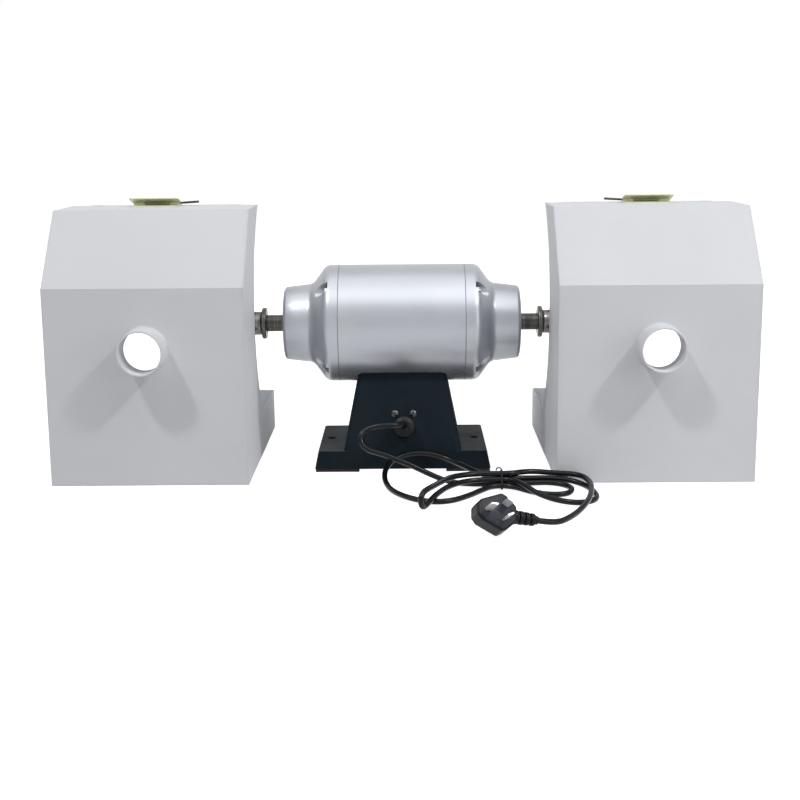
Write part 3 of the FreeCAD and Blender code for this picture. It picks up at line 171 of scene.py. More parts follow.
camera_place = (0.00898, -1.793, 0.43965)
camera_lens = 60.8
pitch, roll, yaw = 0.198, -0.008, -0.007
ahead = Vector((math.sin(yaw) * math.cos(pitch), math.cos(yaw) * math.cos(pitch), -math.sin(pitch)))
level = ahead.cross(Vector((0, 0, 1))).normalized()
raised = level.cross(ahead)
camera_right = level * math.cos(roll) + raised * math.sin(roll)
camera_up = raised * math.cos(roll) - level * math.sin(roll)
camera_data = bpy.data.cameras.new("camera")
camera_data.lens = camera_lens
scene.camera = linked("camera", camera_data)
scene.camera.matrix_world = frame_at(camera_place, camera_right, camera_up, -ahead)

# ---- mains lead -----------------------------------------------------------------------------------
# A round three-core lead in black PVC, 7 mm thick. It leaves the gland behind the pedestal, is tied
# into a loose bunch on the floor, and ends in a moulded plug. The jacket is extruded, so it is glossy
# and a little wavy.


def shader_group(name, takes, gives):
    """A shader node group with named sockets, and its own inputs and outputs to wire up."""
    group = bpy.data.node_groups.new(name, "ShaderNodeTree")
    for label, kind, value in takes:
        socket = group.interface.new_socket(label, in_out="INPUT", socket_type=f"NodeSocket{kind}")
        socket.default_value = value
    for label, kind in gives:
        group.interface.new_socket(label, in_out="OUTPUT", socket_type=f"NodeSocket{kind}")
    inside = group.nodes.new("NodeGroupInput").outputs
    outside = group.nodes.new("NodeGroupOutput").inputs
    return group, inside, outside


def spread_out(tree, value, low, high, top=1.0):
    """A value's range from low to high spread over 0 to top, and held within it."""
    return add(tree, "ShaderNodeMapRange", {"Value": value, "From Min": low, "From Max": high,
                                            "To Min": 0.0, "To Max": top}).outputs[0]


def mixed(tree, share, first, second, **settings):
    """Two colours mixed by a share of the second."""
    colours = {0: share, 6: first, 7: second}
    return add(tree, "ShaderNodeMix", colours, data_type="RGBA", **settings).outputs[2]


# Slow cloudiness of a finish: two colours and a roughness that wander a little over the surface.
clouds, takes, gives = shader_group(
    "clouded finish",
    [("Colour", "Color", white), ("Second colour", "Color", white), ("Scale", "Float", 20.0),
     ("Roughness", "Float", 0.5), ("Roughness spread", "Float", 0.1)],
    [("Colour", "Color"), ("Roughness", "Float")])
where = add(clouds, "ShaderNodeTexCoord").outputs["Object"]
drift = add(clouds, "ShaderNodeTexNoise",
            {"Vector": where, "Scale": takes["Scale"], "Detail": 4.0, "Roughness": 0.6})
cover = spread_out(clouds, drift.outputs[0], 0.3, 0.7)
centred = calculated(clouds, "SUBTRACT", cover, 0.5)
dull = calculated(clouds, "MULTIPLY_ADD", centred, takes["Roughness spread"], takes["Roughness"])
clouds.links.new(mixed(clouds, cover, takes["Colour"], takes["Second colour"]), gives["Colour"])
clouds.links.new(dull, gives["Roughness"])

# Fine relief of a surface: the skin of a sprayed coat, a casting or a moulding.
skin, takes, gives = shader_group(
    "surface skin", [("Scale", "Float", 400.0), ("Pits", "Float", 0.0)], [("Height", "Float")])
where = add(skin, "ShaderNodeTexCoord").outputs["Object"]
ripple = add(skin, "ShaderNodeTexNoise", {"Vector": where, "Scale": takes["Scale"], "Detail": 2.0})
pit = add(skin, "ShaderNodeTexVoronoi", {"Vector": where, "Scale": takes["Scale"]})
pit_depth = calculated(skin, "MULTIPLY", pit.outputs["Distance"], takes["Pits"])
skin.links.new(calculated(skin, "ADD", ripple.outputs[0], pit_depth), gives["Height"])

# Rubbed edges: a mask that is 1 along edges, broken up so that it comes and goes.
rubbed, takes, gives = shader_group(
    "rubbed edges", [("Width", "Float", 0.001), ("Break-up", "Float", 60.0), ("Amount", "Float", 1.0)],
    [("Mask", "Float")])
where = add(rubbed, "ShaderNodeTexCoord").outputs["Object"]
flat_normal = add(rubbed, "ShaderNodeNewGeometry").outputs["Normal"]
round_normal = add(rubbed, "ShaderNodeBevel", {"Radius": takes["Width"]}, samples=4).outputs[0]
same = add(rubbed, "ShaderNodeVectorMath", {0: flat_normal, 1: round_normal}, operation="DOT_PRODUCT")
corner = spread_out(rubbed, same.outputs["Value"], 0.98, 0.80)
broken = add(rubbed, "ShaderNodeTexNoise", {"Vector": where, "Scale": takes["Break-up"], "Detail": 3.0})
worn = calculated(rubbed, "MULTIPLY", corner, spread_out(rubbed, broken.outputs[0], 0.42, 0.6))
rubbed.links.new(calculated(rubbed, "MULTIPLY", worn, takes["Amount"]), gives["Mask"])


def new_finish(name):
    """A material and its empty tree."""
    material = bpy.data.materials.new(name)
    return material, empty_tree(material)


def use(tree, group, links):
    """A node group placed in a material's tree."""
    return add(tree, "ShaderNodeGroup", links, node_tree=group).outputs


def bumped(tree, height, distance, strength=1.0):
    """The normal of a surface with a relief of a height's distance."""
    relief = {"Strength": strength, "Distance": distance, "Height": height}
    return add(tree, "ShaderNodeBump", relief).outputs[0]


def surfaced(tree, sockets):
    """Ends a material's tree with its surface."""
    surface = add(tree, "ShaderNodeBsdfPrincipled", sockets)
    add(tree, "ShaderNodeOutputMaterial", {"Surface": surface.outputs[0]})


def finish(name, colour, second, rough, spread=0.08, cloud=18.0, metal=0.0, grain=500.0, depth_mm=0.02,
           pits=0.0, coat=0.0, coat_rough=0.2, bare=None, wear=0.0, wear_width=0.0008, wear_breaks=60.0,
           specular=0.5):
    """A finish of one colour that wanders to a second, with a fine skin, and worn edges if bare is given."""
    material, tree = new_finish(name)
    body = use(tree, clouds, {"Colour": (*colour, 1), "Second colour": (*second, 1), "Scale": cloud,
                              "Roughness": rough, "Roughness spread": spread})
    relief = use(tree, skin, {"Scale": grain, "Pits": pits})["Height"]
    shown = body["Colour"]
    if bare is not None:
        edge = use(tree, rubbed, {"Width": wear_width, "Break-up": wear_breaks, "Amount": wear})
        shown = mixed(tree, edge["Mask"], shown, (*bare, 1))
    surfaced(tree, {"Base Color": shown, "Roughness": body["Roughness"], "Metallic": metal,
                    "Normal": bumped(tree, relief, depth_mm * 0.001), "Coat Weight": coat,
                    "Coat Roughness": coat_rough, "Specular IOR Level": specular})
    return material


lead_pvc = finish("lead jacket, black PVC", (0.0014, 0.0022, 0.0040), (0.0030, 0.0042, 0.0068), 0.24,
                  spread=0.05, cloud=45.0, grain=350.0, depth_mm=0.003, specular=0.20)

lead_d = 0.007
gland_mouth = (0.002, -0.09805, 0.06615)
lead_route = [
    # from the gland, round to the side and down to the floor
    (0.002, -0.115, 0.071), (-0.01, -0.127, 0.073), (-0.027, -0.127, 0.0725),
    (-0.043, -0.124, 0.069), (-0.052, -0.1284, 0.0614), (-0.052, -0.1346, 0.0506), (-0.043, -0.1395, 0.0435),
    (-0.028, -0.143, 0.0405), (-0.01, -0.146, 0.0345), (0.011, -0.146, 0.0255), (0.035, -0.145, 0.013),
    (0.06, -0.15, 0.004), (0.087, -0.158, 0.004),
    # through the tie and round the inner right loop
    (0.112, -0.163, 0.0052), (0.134, -0.163, 0.0052), (0.1575, -0.1595, 0.0052), (0.183, -0.159, 0.0059),
    (0.203, -0.165, 0.0042), (0.21, -0.184, 0.0036), (0.201, -0.206, 0.0036), (0.178, -0.209, 0.0036),
    (0.156, -0.194, 0.0038),
    # back through the tie and round the left loop, which leans on the foot
    (0.136, -0.173, 0.005), (0.112, -0.1705, 0.0052), (0.096, -0.188, 0.0036), (0.079, -0.213, 0.0036),
    (0.057, -0.236, 0.0036), (0.03, -0.238, 0.0036), (0.005, -0.217, 0.0036), (-0.014, -0.185, 0.0036),
    (-0.022, -0.15, 0.005), (-0.0235, -0.12, 0.0105), (-0.016, -0.098, 0.019), (0.003, -0.0865, 0.0255),
    (0.027, -0.085, 0.027), (0.051, -0.087, 0.0225), (0.073, -0.103, 0.016), (0.092, -0.131, 0.013),
    # through the tie and round the outer right loop
    (0.112, -0.159, 0.0119), (0.134, -0.159, 0.0119), (0.156, -0.153, 0.0097), (0.1815, -0.1515, 0.0097),
    (0.207, -0.152, 0.0073), (0.226, -0.164, 0.0042), (0.235, -0.195, 0.0036), (0.234, -0.231, 0.0036),
    (0.212, -0.248, 0.0036), (0.186, -0.236, 0.0036), (0.163, -0.213, 0.006), (0.148, -0.188, 0.0118),
    # back through the tie to the tight fold on the left
    (0.133, -0.167, 0.0122), (0.112, -0.1667, 0.0119), (0.09, -0.17, 0.0122), (0.071, -0.181, 0.0122),
    (0.056, -0.2, 0.0122), (0.045, -0.224, 0.0122), (0.036, -0.247, 0.011), (0.029, -0.262, 0.007),
    (0.0245, -0.2705, 0.006), (0.0217, -0.276, 0.0112), (0.0217, -0.276, 0.0192), (0.0245, -0.2705, 0.0244),
    (0.03, -0.259, 0.0252), (0.037, -0.242, 0.024), (0.047, -0.213, 0.022), (0.062, -0.183, 0.0205),
    (0.085, -0.167, 0.0192),
    # through the tie once more, behind everything and over to the plug
    (0.112, -0.163, 0.0186), (0.134, -0.163, 0.0186), (0.1525, -0.151, 0.0178), (0.168, -0.1462, 0.0167),
    (0.185, -0.1459, 0.0149), (0.2025, -0.1464, 0.0139), (0.2183, -0.149, 0.0132), (0.2275, -0.161, 0.0124),
    (0.231, -0.185, 0.0124), (0.228, -0.219, 0.0124), (0.221, -0.254, 0.012), (0.2075, -0.29, 0.0092),
    (0.19, -0.322, 0.0079), (0.1712, -0.3443, 0.00775), (0.1505, -0.3499, 0.0127),
]
curve = bpy.data.curves.new("mains_lead", "CURVE")
curve.dimensions = "3D"
run = curve.splines.new("NURBS")
run.points.add(len(lead_route))
for point, place in zip(run.points, [gland_mouth] + lead_route):
    point.co = (*place, 1)
run.order_u = 3
run.use_endpoint_u = True
run.resolution_u = 8
curve.bevel_depth = lead_d / 2
curve.bevel_resolution = 6
curve.use_fill_caps = True
curve.materials.append(lead_pvc)
lead = linked("mains_lead", curve)
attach(lead, body_of(nodes["mains_cord"])[0])
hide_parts("mains_cord")

# ---- plug, boot and tie ---------------------------------------------------------------------------
# A flat moulded plug with three nickel-plated blades and a segmented boot, both moulded onto the lead,
# and a wire-cored plastic tie round the bunch. The plug lies on its back edge, blades up.

# Corners this near are one: in a CAD node's loose triangles, and in a piece made here.
loose_corners, same_point = 0.000002, 1e-7
flat_within = math.radians(0.5)


def softened(name, material, edge, segments=2, angle=32):
    """Stands for a CAD piece: its faces made whole again and its edges rounded."""
    shape = bmesh.new()
    shape.from_mesh(nodes[name].data)
    bmesh.ops.remove_doubles(shape, verts=shape.verts, dist=loose_corners)
    bmesh.ops.dissolve_limit(shape, angle_limit=flat_within, verts=shape.verts[:], edges=shape.edges[:])
    shape.verts.index_update()
    corners = [v.co.copy() for v in shape.verts]
    faces = [[v.index for v in face.verts] for face in shape.faces]
    shape.free()
    mesh = bpy.data.meshes.new(name + "_finished")
    mesh.from_pydata(corners, [], faces)
    mesh.shade_smooth()
    mesh.set_sharp_from_angle(angle=math.radians(angle))
    piece = linked(name + "_finished", mesh)
    rounding = piece.modifiers.new("rounded edges", "BEVEL")
    rounding.width = edge
    rounding.segments = segments
    rounding.limit_method = "ANGLE"
    rounding.angle_limit = math.radians(angle)
    rounding.harden_normals = True
    rounding.miter_outer = "MITER_ARC"
    stand_for(piece, name, material)


def stand_for(piece, name, material):
    """The piece takes over from a CAD node and rides on its body."""
    fitted(piece, body_of(nodes[name])[0], material)
    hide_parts(name)


def fitted(piece, body, material):
    """The piece rides on a body and a finish."""
    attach(piece, body)
    piece.data.materials.clear()
    piece.data.materials.append(material)


def paint(material, *names):
    """A finish on CAD nodes that stay as they are."""
    for name in names:
        for place in nodes[name].material_slots:
            place.material = material


plug_moulding = finish("plug moulding", (0.004, 0.0042, 0.006), (0.007, 0.0072, 0.010), 0.34, spread=0.1,
                       cloud=90.0, grain=1400.0, depth_mm=0.02, bare=(0.03, 0.03, 0.035), wear=0.4,
                       specular=0.15)
# The face is lighter and bluer than the body of the same moulding: a painted sheen for the light its upturned
# face catches.
plug_face_with_painted_sheen = finish("plug face moulding with painted sheen", (0.030, 0.030, 0.043), (0.040, 0.040, 0.056), 0.42,
                            spread=0.1, cloud=120.0, grain=1800.0, depth_mm=0.03, specular=0.15)
blade_nickel = finish("nickel plated blade", (0.88, 0.88, 0.86), (0.92, 0.92, 0.90), 0.36, spread=0.12,
                      cloud=160.0, metal=0.5, grain=2500.0, depth_mm=0.006, bare=(0.62, 0.48, 0.24),
                      wear=0.3, wear_width=0.0003)
paint(plug_moulding, "plug_body")
softened("plug_blades", blade_nickel, edge=0.00035)
softened("cord_tie", plug_moulding, edge=0.00015, segments=1)

plug_place = (0.0971186, -0.355355, 0.0185857)
to_boot = (0.93996, 0.25697, -0.22460)
across_plug = (0.02672, 0.60068, 0.79905)
out_of_face = (0.34024, -0.75707, 0.55775)
plug_frame = frame_at(plug_place, to_boot, across_plug, out_of_face)
plug_thick = 0.0215
face_proud = 0.0005
face_corner_r = 0.0018
face_outline = [(-0.0196, 0.0050), (-0.0156, 0.0098), (0.0054, 0.0186), (0.0098, 0.0168), (0.0196, 0.0076)]
smooth_degrees = 35


def placed_mesh(name, shape, place=None, angle=smooth_degrees):
    """A bmesh made an object, its place in its mesh, smooth between faces that meet at under the angle."""
    if place is not None:
        bmesh.ops.transform(shape, matrix=place, verts=shape.verts)
    mesh = bpy.data.meshes.new(name)
    shape.to_mesh(mesh)
    shape.free()
    mesh.shade_smooth()
    mesh.set_sharp_from_angle(angle=math.radians(angle))
    return linked(name, mesh)


def plate(name, points, low, high, corner_r, place):
    """A flat plate with rounded corners and a rounded top edge, from half an outline and its mirror image."""
    loop = points + [(x, -y) for x, y in reversed(points)]
    thick = high - low
    edge_share = 0.45
    shape = bmesh.new()
    rim = shape.faces.new([shape.verts.new((x, y, low)) for x, y in loop])
    grown = bmesh.ops.extrude_face_region(shape, geom=[rim])["geom"]
    lifted = [v for v in grown if isinstance(v, bmesh.types.BMVert)]
    bmesh.ops.translate(shape, verts=lifted, vec=(0, 0, thick))
    upright = [e for e in shape.edges if abs(e.verts[0].co.z - e.verts[1].co.z) > thick / 2]
    bmesh.ops.bevel(shape, geom=upright, offset=corner_r, segments=5, profile=0.5, affect="EDGES",
                    clamp_overlap=True)
    top = [e for e in shape.edges if min(v.co.z for v in e.verts) > high - same_point]
    bmesh.ops.bevel(shape, geom=top, offset=thick * edge_share, segments=2, profile=0.5, affect="EDGES",
                    clamp_overlap=True)
    bmesh.ops.recalc_face_normals(shape, faces=shape.faces)
    return placed_mesh(name, shape, place)


# A thin plate over the face carries that painted sheen.
plug_face = plate("plug_face", face_outline, plug_thick - face_proud, plug_thick + face_proud,
                  face_corner_r, plug_frame)
fitted(plug_face, "base", plug_face_with_painted_sheen)


def ring_of(shape, radius, height, around):
    """A ring of vertices about Z, or one vertex that stands for all of them on the axis."""
    if radius == 0:
        return [shape.verts.new((0, 0, height))] * around
    turns = [2 * math.pi * k / around for k in range(around)]
    return [shape.verts.new((radius * math.cos(t), radius * math.sin(t), height)) for t in turns]


def skinned(shape, rings):
    """Faces between each ring of vertices and the next."""
    for low, high in zip(rings, rings[1:]):
        for k in range(len(low)):
            after = (k + 1) % len(low)
            corners = [low[k], low[after], high[after], high[k]]
            shape.faces.new([v for i, v in enumerate(corners) if v not in corners[:i]])


def turned(name, profile, around=48, place=None):
    """A turned piece about Z, from (radius, height) points. It closes on the axis or in a ring."""
    shape = bmesh.new()
    rings = [ring_of(shape, radius, height, around) for radius, height in profile]
    skinned(shape, rings)
    if profile[0] == profile[-1]:
        bmesh.ops.remove_doubles(shape, verts=shape.verts, dist=same_point)
    bmesh.ops.recalc_face_normals(shape, faces=shape.faces)
    return placed_mesh(name, shape, place)


def geometry_tree(name, takes):
    """A geometry node tree with a geometry in and out, named inputs, and a finish for its result."""
    tree = bpy.data.node_groups.new(name, "GeometryNodeTree")
    tree.interface.new_socket("Geometry", in_out="INPUT", socket_type="NodeSocketGeometry")
    tree.interface.new_socket("Geometry", in_out="OUTPUT", socket_type="NodeSocketGeometry")
    for label, kind, value in takes:
        socket = tree.interface.new_socket(label, in_out="INPUT", socket_type=f"NodeSocket{kind}")
        socket.default_value = value
    tree.interface.new_socket("Finish", in_out="INPUT", socket_type="NodeSocketMaterial")
    return tree, tree.nodes.new("NodeGroupInput").outputs


def copy_onto(tree, takes, place, turns_and_sizes):
    """Ends a tree: Count copies of its geometry, each at its place, made real and given their finish."""
    spots = add(tree, "GeometryNodePoints", {"Count": takes["Count"]})
    moved = add(tree, "GeometryNodeSetPosition", {"Geometry": spots.outputs[0], "Position": place})
    copies = add(tree, "GeometryNodeInstanceOnPoints",
                 {"Points": moved.outputs[0], "Instance": takes["Geometry"], **turns_and_sizes})
    real = add(tree, "GeometryNodeRealizeInstances", {"Geometry": copies.outputs[0]})
    shown = add(tree, "GeometryNodeSetMaterial", {"Geometry": real.outputs[0], "Material": takes["Finish"]})
    end = tree.nodes.new("NodeGroupOutput")
    tree.links.new(shown.outputs[0], end.inputs[0])


# Copies in a row: each a step further, and scaled from 1 at the first to a last size.
row_tree, takes = geometry_tree("copies in a row", [
    ("Count", "Int", 2), ("Step", "Vector", (0, 0, 0.001)), ("Last size", "Float", 1.0)])
index = add(row_tree, "GeometryNodeInputIndex").outputs[0]
travel = add(row_tree, "ShaderNodeVectorMath", {0: takes["Step"], "Scale": index}, operation="SCALE")
share = calculated(row_tree, "DIVIDE", index, calculated(row_tree, "SUBTRACT", takes["Count"], 1.0))
size = add(row_tree, "ShaderNodeMix", {0: share, 2: 1.0, 3: takes["Last size"]})
copy_onto(row_tree, takes, travel.outputs[0], {"Scale": size.outputs[0]})


def plain_mesh(thing):
    """What an object's text or modifiers make, as a mesh of its own."""
    bpy.context.view_layer.update()
    return bpy.data.meshes.new_from_object(thing.evaluated_get(bpy.context.evaluated_depsgraph_get()))


def repeated(unit, tree, values, material, place):
    """Runs a tree on a unit piece and keeps the result as a plain mesh, with its place in it."""
    run = unit.modifiers.new("repeat", "NODES")
    run.node_group = tree
    values = {**values, "Finish": material}
    for socket in tree.interface.items_tree:
        if socket.in_out == "INPUT" and socket.name in values:
            run[socket.identifier] = values[socket.name]
    made = plain_mesh(unit)
    unit.modifiers.clear()
    unit.data = made
    made.transform(place)
    return unit


def joined(name, parts):
    """Several plain pieces made one."""
    shape = bmesh.new()
    for part in parts:
        shape.from_mesh(part.data)
        bpy.data.objects.remove(part)
    return placed_mesh(name, shape)


boot_start, boot_length = 0.0225, 0.0304
boot_core_r, boot_core_end_r = 0.0062, 0.0049
boot_tip_r, boot_tip_edge = 0.0042, 0.0008
ring_count, ring_pitch, last_ring_size = 4, 0.0069, 0.88
ring_r, ring_w, ring_bore_r = 0.0082, 0.0056, 0.0045
ring_edge, ring_round, ring_taper = 0.0009, 0.0003, 0.0002
ring_end_r = ring_r - ring_taper
boot_frame = (plug_frame @ Matrix.Translation((boot_start, 0, plug_thick / 2))
              @ Matrix.Rotation(math.pi / 2, 4, "Y"))
boot_core = turned("boot_core", [(0, 0), (boot_core_r, 0), (boot_core_end_r, boot_length - boot_tip_edge),
                                 (boot_tip_r, boot_length), (0, boot_length)], place=boot_frame)
boot_ring = turned("boot_rings", [
    (ring_bore_r, 0), (ring_r - ring_edge, 0), (ring_r - ring_round, ring_round), (ring_r, ring_edge),
    (ring_end_r, ring_w - ring_edge), (ring_end_r - ring_round, ring_w - ring_round),
    (ring_end_r - ring_edge, ring_w), (ring_bore_r, ring_w), (ring_bore_r, 0)])
boot_rings = repeated(boot_ring, row_tree,
                      {"Count": ring_count, "Step": (0, 0, ring_pitch), "Last size": last_ring_size},
                      plug_moulding, boot_frame)
boot = joined("plug_boot_segments", [boot_core, boot_rings])
stand_for(boot, "plug_boot", plug_moulding)

# ---- motor casing ---------------------------------------------------------------------------------
# A drawn steel shell between two cast end bells, sprayed with silver paint after they were bolted
# together. The bells show the grain of the casting through the paint. A dark grey band that stands a
# hair proud is painted into the two joints between bells and shell as their shade.

silver, silver_second = (0.385, 0.400, 0.435), (0.425, 0.440, 0.475)
silver_on_sheet = finish("silver paint on the shell", silver, silver_second, 0.36, spread=0.06, cloud=9.0,
                         metal=0.62, grain=1300.0, depth_mm=0.02, coat=0.12, coat_rough=0.22)
silver_on_casting = finish("silver paint on cast bells", silver, silver_second, 0.36, spread=0.08,
                           cloud=14.0, metal=0.62, grain=420.0, depth_mm=0.05, coat=0.12, coat_rough=0.22,
                           bare=(0.62, 0.62, 0.62), wear=0.3)
# The dark grey band is painted shade that stands for the shadow in each joint's seam.
joint_shade_paint = finish("painted shade in the joints", (0.17, 0.175, 0.19), (0.23, 0.235, 0.25), 0.6, cloud=120.0,
                 grain=900.0, depth_mm=0.05, specular=0.2)
axis_z = 0.186
joint_x, joint_r, joint_w = 0.0825, 0.0775, 0.0009
joint_proud, joint_deep = 0.00008, 0.001
joint_half = joint_w / 2
joint_floor_r = joint_r - joint_deep
joint_profile = [(joint_floor_r, -joint_half), (joint_r, -joint_half), (joint_r + joint_proud, 0),
                 (joint_r, joint_half), (joint_floor_r, joint_half), (joint_floor_r, -joint_half)]
softened("motor_shell", silver_on_sheet, edge=0.0004)
for side in ("left", "right"):
    softened("end_bell_" + side, silver_on_casting, edge=0.0009, angle=28)
for side, sign in (("left", -1), ("right", 1)):
    joint_frame = Matrix.Translation((sign * joint_x, 0, axis_z)) @ Matrix.Rotation(math.pi / 2, 4, "Y")
    band = turned("joint_painted_shade_" + side, joint_profile, around=180, place=joint_frame)
    fitted(band, "base", joint_shade_paint)

# ---- through bolts --------------------------------------------------------------------------------
# Four long hexagon bolts with nuts, in zinc-plated steel that has dulled. They clamp the bells to the
# shell and sit in scallops of the castings.

stretch, takes, gives = shader_group(
    "drawn grain", [("Along", "Vector", (40.0, 2000.0, 2000.0)), ("Contrast", "Float", 1.0)],
    [("Height", "Float"), ("Shade", "Float")])
where = add(stretch, "ShaderNodeTexCoord").outputs["Object"]
pulled = add(stretch, "ShaderNodeVectorMath", {0: where, 1: takes["Along"]}, operation="MULTIPLY").outputs[0]
lines = add(stretch, "ShaderNodeTexNoise", {"Vector": pulled, "Scale": 1.0, "Detail": 3.0}).outputs[0]
shade = calculated(stretch, "MULTIPLY", spread_out(stretch, lines, 0.3, 0.7), takes["Contrast"])
stretch.links.new(lines, gives["Height"])
stretch.links.new(shade, gives["Shade"])


def worked_metal(name, light, dark, rough, along, depth_mm=0.004, stain=None, stains=0.0, stain_scale=35.0):
    """A metal with the fine lines of turning, drawing or brushing, and stains if it has any."""
    material, tree = new_finish(name)
    marks = use(tree, stretch, {"Along": along, "Contrast": 1.0})
    colour = mixed(tree, marks["Shade"], (*light, 1), (*dark, 1))
    if stain is not None:
        # With a roughness that wanders from 0 to 1, the clouds are a mask for the stains.
        cloud = use(tree, clouds, {"Colour": (0, 0, 0, 1), "Second colour": white, "Scale": stain_scale,
                                   "Roughness": 0.5, "Roughness spread": 1.0})
        stained = spread_out(tree, cloud["Roughness"], 0.5, 1.0, top=stains)
        colour = mixed(tree, stained, colour, (*stain, 1))
    duller_lines = 0.12
    surfaced(tree, {"Base Color": colour, "Metallic": 1.0,
                    "Roughness": calculated(tree, "MULTIPLY_ADD", marks["Shade"], duller_lines, rough),
                    "Normal": bumped(tree, marks["Height"], depth_mm * 0.001)})
    return material


bolt_zinc = worked_metal("zinc plated bolts", (0.50, 0.50, 0.51), (0.36, 0.36, 0.38), 0.3,
                         (60.0, 900.0, 900.0), stain=(0.12, 0.11, 0.10), stains=0.5)
softened("through_bolts", bolt_zinc, edge=0.0003, segments=1)

# ---- stator and rotor -----------------------------------------------------------------------------
# Stacks of thin electrical steel, lacquered copper turns in the stator's slots, and a cast aluminium
# cage on the rotor. The shell hides them.

core_steel = worked_metal("core laminations", (0.26, 0.25, 0.24), (0.10, 0.10, 0.10), 0.42,
                          (2000.0, 30.0, 30.0), depth_mm=0.03, stain=(0.16, 0.09, 0.05), stains=0.4)
winding_copper = worked_metal("lacquered copper turns", (0.66, 0.27, 0.12), (0.30, 0.10, 0.04), 0.22,
                              (500.0, 1500.0, 1500.0), depth_mm=0.12)
cage_aluminium = finish("cast cage aluminium", (0.58, 0.58, 0.59), (0.68, 0.68, 0.69), 0.46, metal=1.0,
                        cloud=60.0, grain=500.0, depth_mm=0.08, pits=0.6)
paint(core_steel, "stator_core", "rotor_core")
paint(winding_copper, "stator_windings")
paint(cage_aluminium, "rotor_end_rings")

# ---- shaft, bearings and seals --------------------------------------------------------------------
# A ground steel shaft that runs right through the motor in two ball bearings. Outside the bells it is
# bare. Its dark colour, and that of the two flanges pressed on it, is a painted reflection of the dark
# room they mirror, with stains clouded over it.

shaft_steel = worked_metal("ground shaft steel, dark as painted reflection", (0.11, 0.107, 0.10), (0.032, 0.030, 0.028), 0.26,
                           (1600.0, 40.0, 40.0), depth_mm=0.006, stain=(0.03, 0.026, 0.022), stains=0.8)
flange_steel = worked_metal("turned flange steel, dark as painted reflection", (0.20, 0.197, 0.19), (0.07, 0.067, 0.063), 0.28,
                            (900.0, 60.0, 60.0), depth_mm=0.01, stain=(0.05, 0.045, 0.04), stains=0.6)
bearing_steel = worked_metal("polished bearing steel", (0.62, 0.61, 0.60), (0.50, 0.49, 0.48), 0.1,
                             (900.0, 30.0, 30.0), depth_mm=0.002)
seal_rubber = finish("seal rubber", (0.012, 0.012, 0.013), (0.02, 0.02, 0.02), 0.6, cloud=150.0,
                     grain=1500.0, depth_mm=0.05)
paint(shaft_steel, "motor_shaft")
softened("spindle_flanges", flange_steel, edge=0.0004)
paint(bearing_steel, "bearing_outer_races", "bearing_inner_races", "bearing_balls")
paint(seal_rubber, "shaft_seals")

# ---- tapered spindles -----------------------------------------------------------------------------
# Turned steel hubs held on the shaft by two grub screws each, ending in a taper with a coarse screw
# thread on which a buffing wheel winds itself tight: right-handed on one end, left-handed on the other.

thread_start, thread_end, tip_length = 0.2215, 0.3070, 0.0022
thread_pitch, thread_depth = 0.0045, 0.0012
thread_base_r, thread_tip_r = 0.0110, 0.0040
hub_lap = 0.0003
steps_along, steps_around = 10, 48
# The hubs' dark steel is a painted reflection of the dark room they mirror, with stains clouded over it.
spindle_steel = worked_metal("turned spindle steel, dark as painted reflection", (0.20, 0.197, 0.19), (0.08, 0.078, 0.073), 0.26,
                             (1100.0, 40.0, 40.0), depth_mm=0.008, stain=(0.06, 0.05, 0.042), stains=0.5)


def threaded_spindle(name, side):
    """The CAD hub with a helical thread on its taper in place of plain rings."""
    shape = bmesh.new()
    shape.from_mesh(nodes[name].data)
    bmesh.ops.remove_doubles(shape, verts=shape.verts, dist=loose_corners)
    past = [f for f in shape.faces if side * f.calc_center_median().x > thread_start - hub_lap]
    bmesh.ops.delete(shape, geom=past, context="FACES")
    bmesh.ops.holes_fill(shape, edges=[e for e in shape.edges if e.is_boundary], sides=0)
    length = thread_end - thread_start
    count = int(length / thread_pitch * steps_along)
    rings = []
    for i in range(count + 1):
        along = i / count * length
        fade = min(1.0, i / steps_along, (count - i) / steps_along)
        plain_r = thread_base_r - (thread_base_r - thread_tip_r) * along / length
        ring = []
        for k in range(steps_around):
            turn = k / steps_around
            phase = (along / thread_pitch - side * turn) % 1.0
            radius = plain_r - thread_depth * fade * abs(2 * phase - 1)
            angle = 2 * math.pi * turn
            ring.append(shape.verts.new((side * (thread_start + along), radius * math.cos(angle),
                                         axis_z + radius * math.sin(angle))))
        rings.append(ring)
    tip = shape.verts.new((side * (thread_end + tip_length), 0, axis_z))
    skinned(shape, rings + [[tip] * steps_around])
    shape.faces.new(rings[0])
    bmesh.ops.recalc_face_normals(shape, faces=shape.faces)
    stand_for(placed_mesh(name + "_threaded", shape, angle=40), name, spindle_steel)


threaded_spindle("spindle_right", 1)
threaded_spindle("spindle_left", -1)
black_oxide = finish("black oxide screws", (0.022, 0.022, 0.024), (0.04, 0.04, 0.04), 0.34, cloud=200.0,
                     metal=0.6, grain=1500.0, depth_mm=0.02, bare=(0.3, 0.3, 0.3), wear=0.6,
                     wear_width=0.0003)
paint(black_oxide, "spindle_set_screws")

# ---- pedestal and feet ----------------------------------------------------------------------------
# One iron casting, sand-cast and sprayed black over its grain, with rubber pads glued under its wings
# and a sheet plate screwed over the hollow underneath.

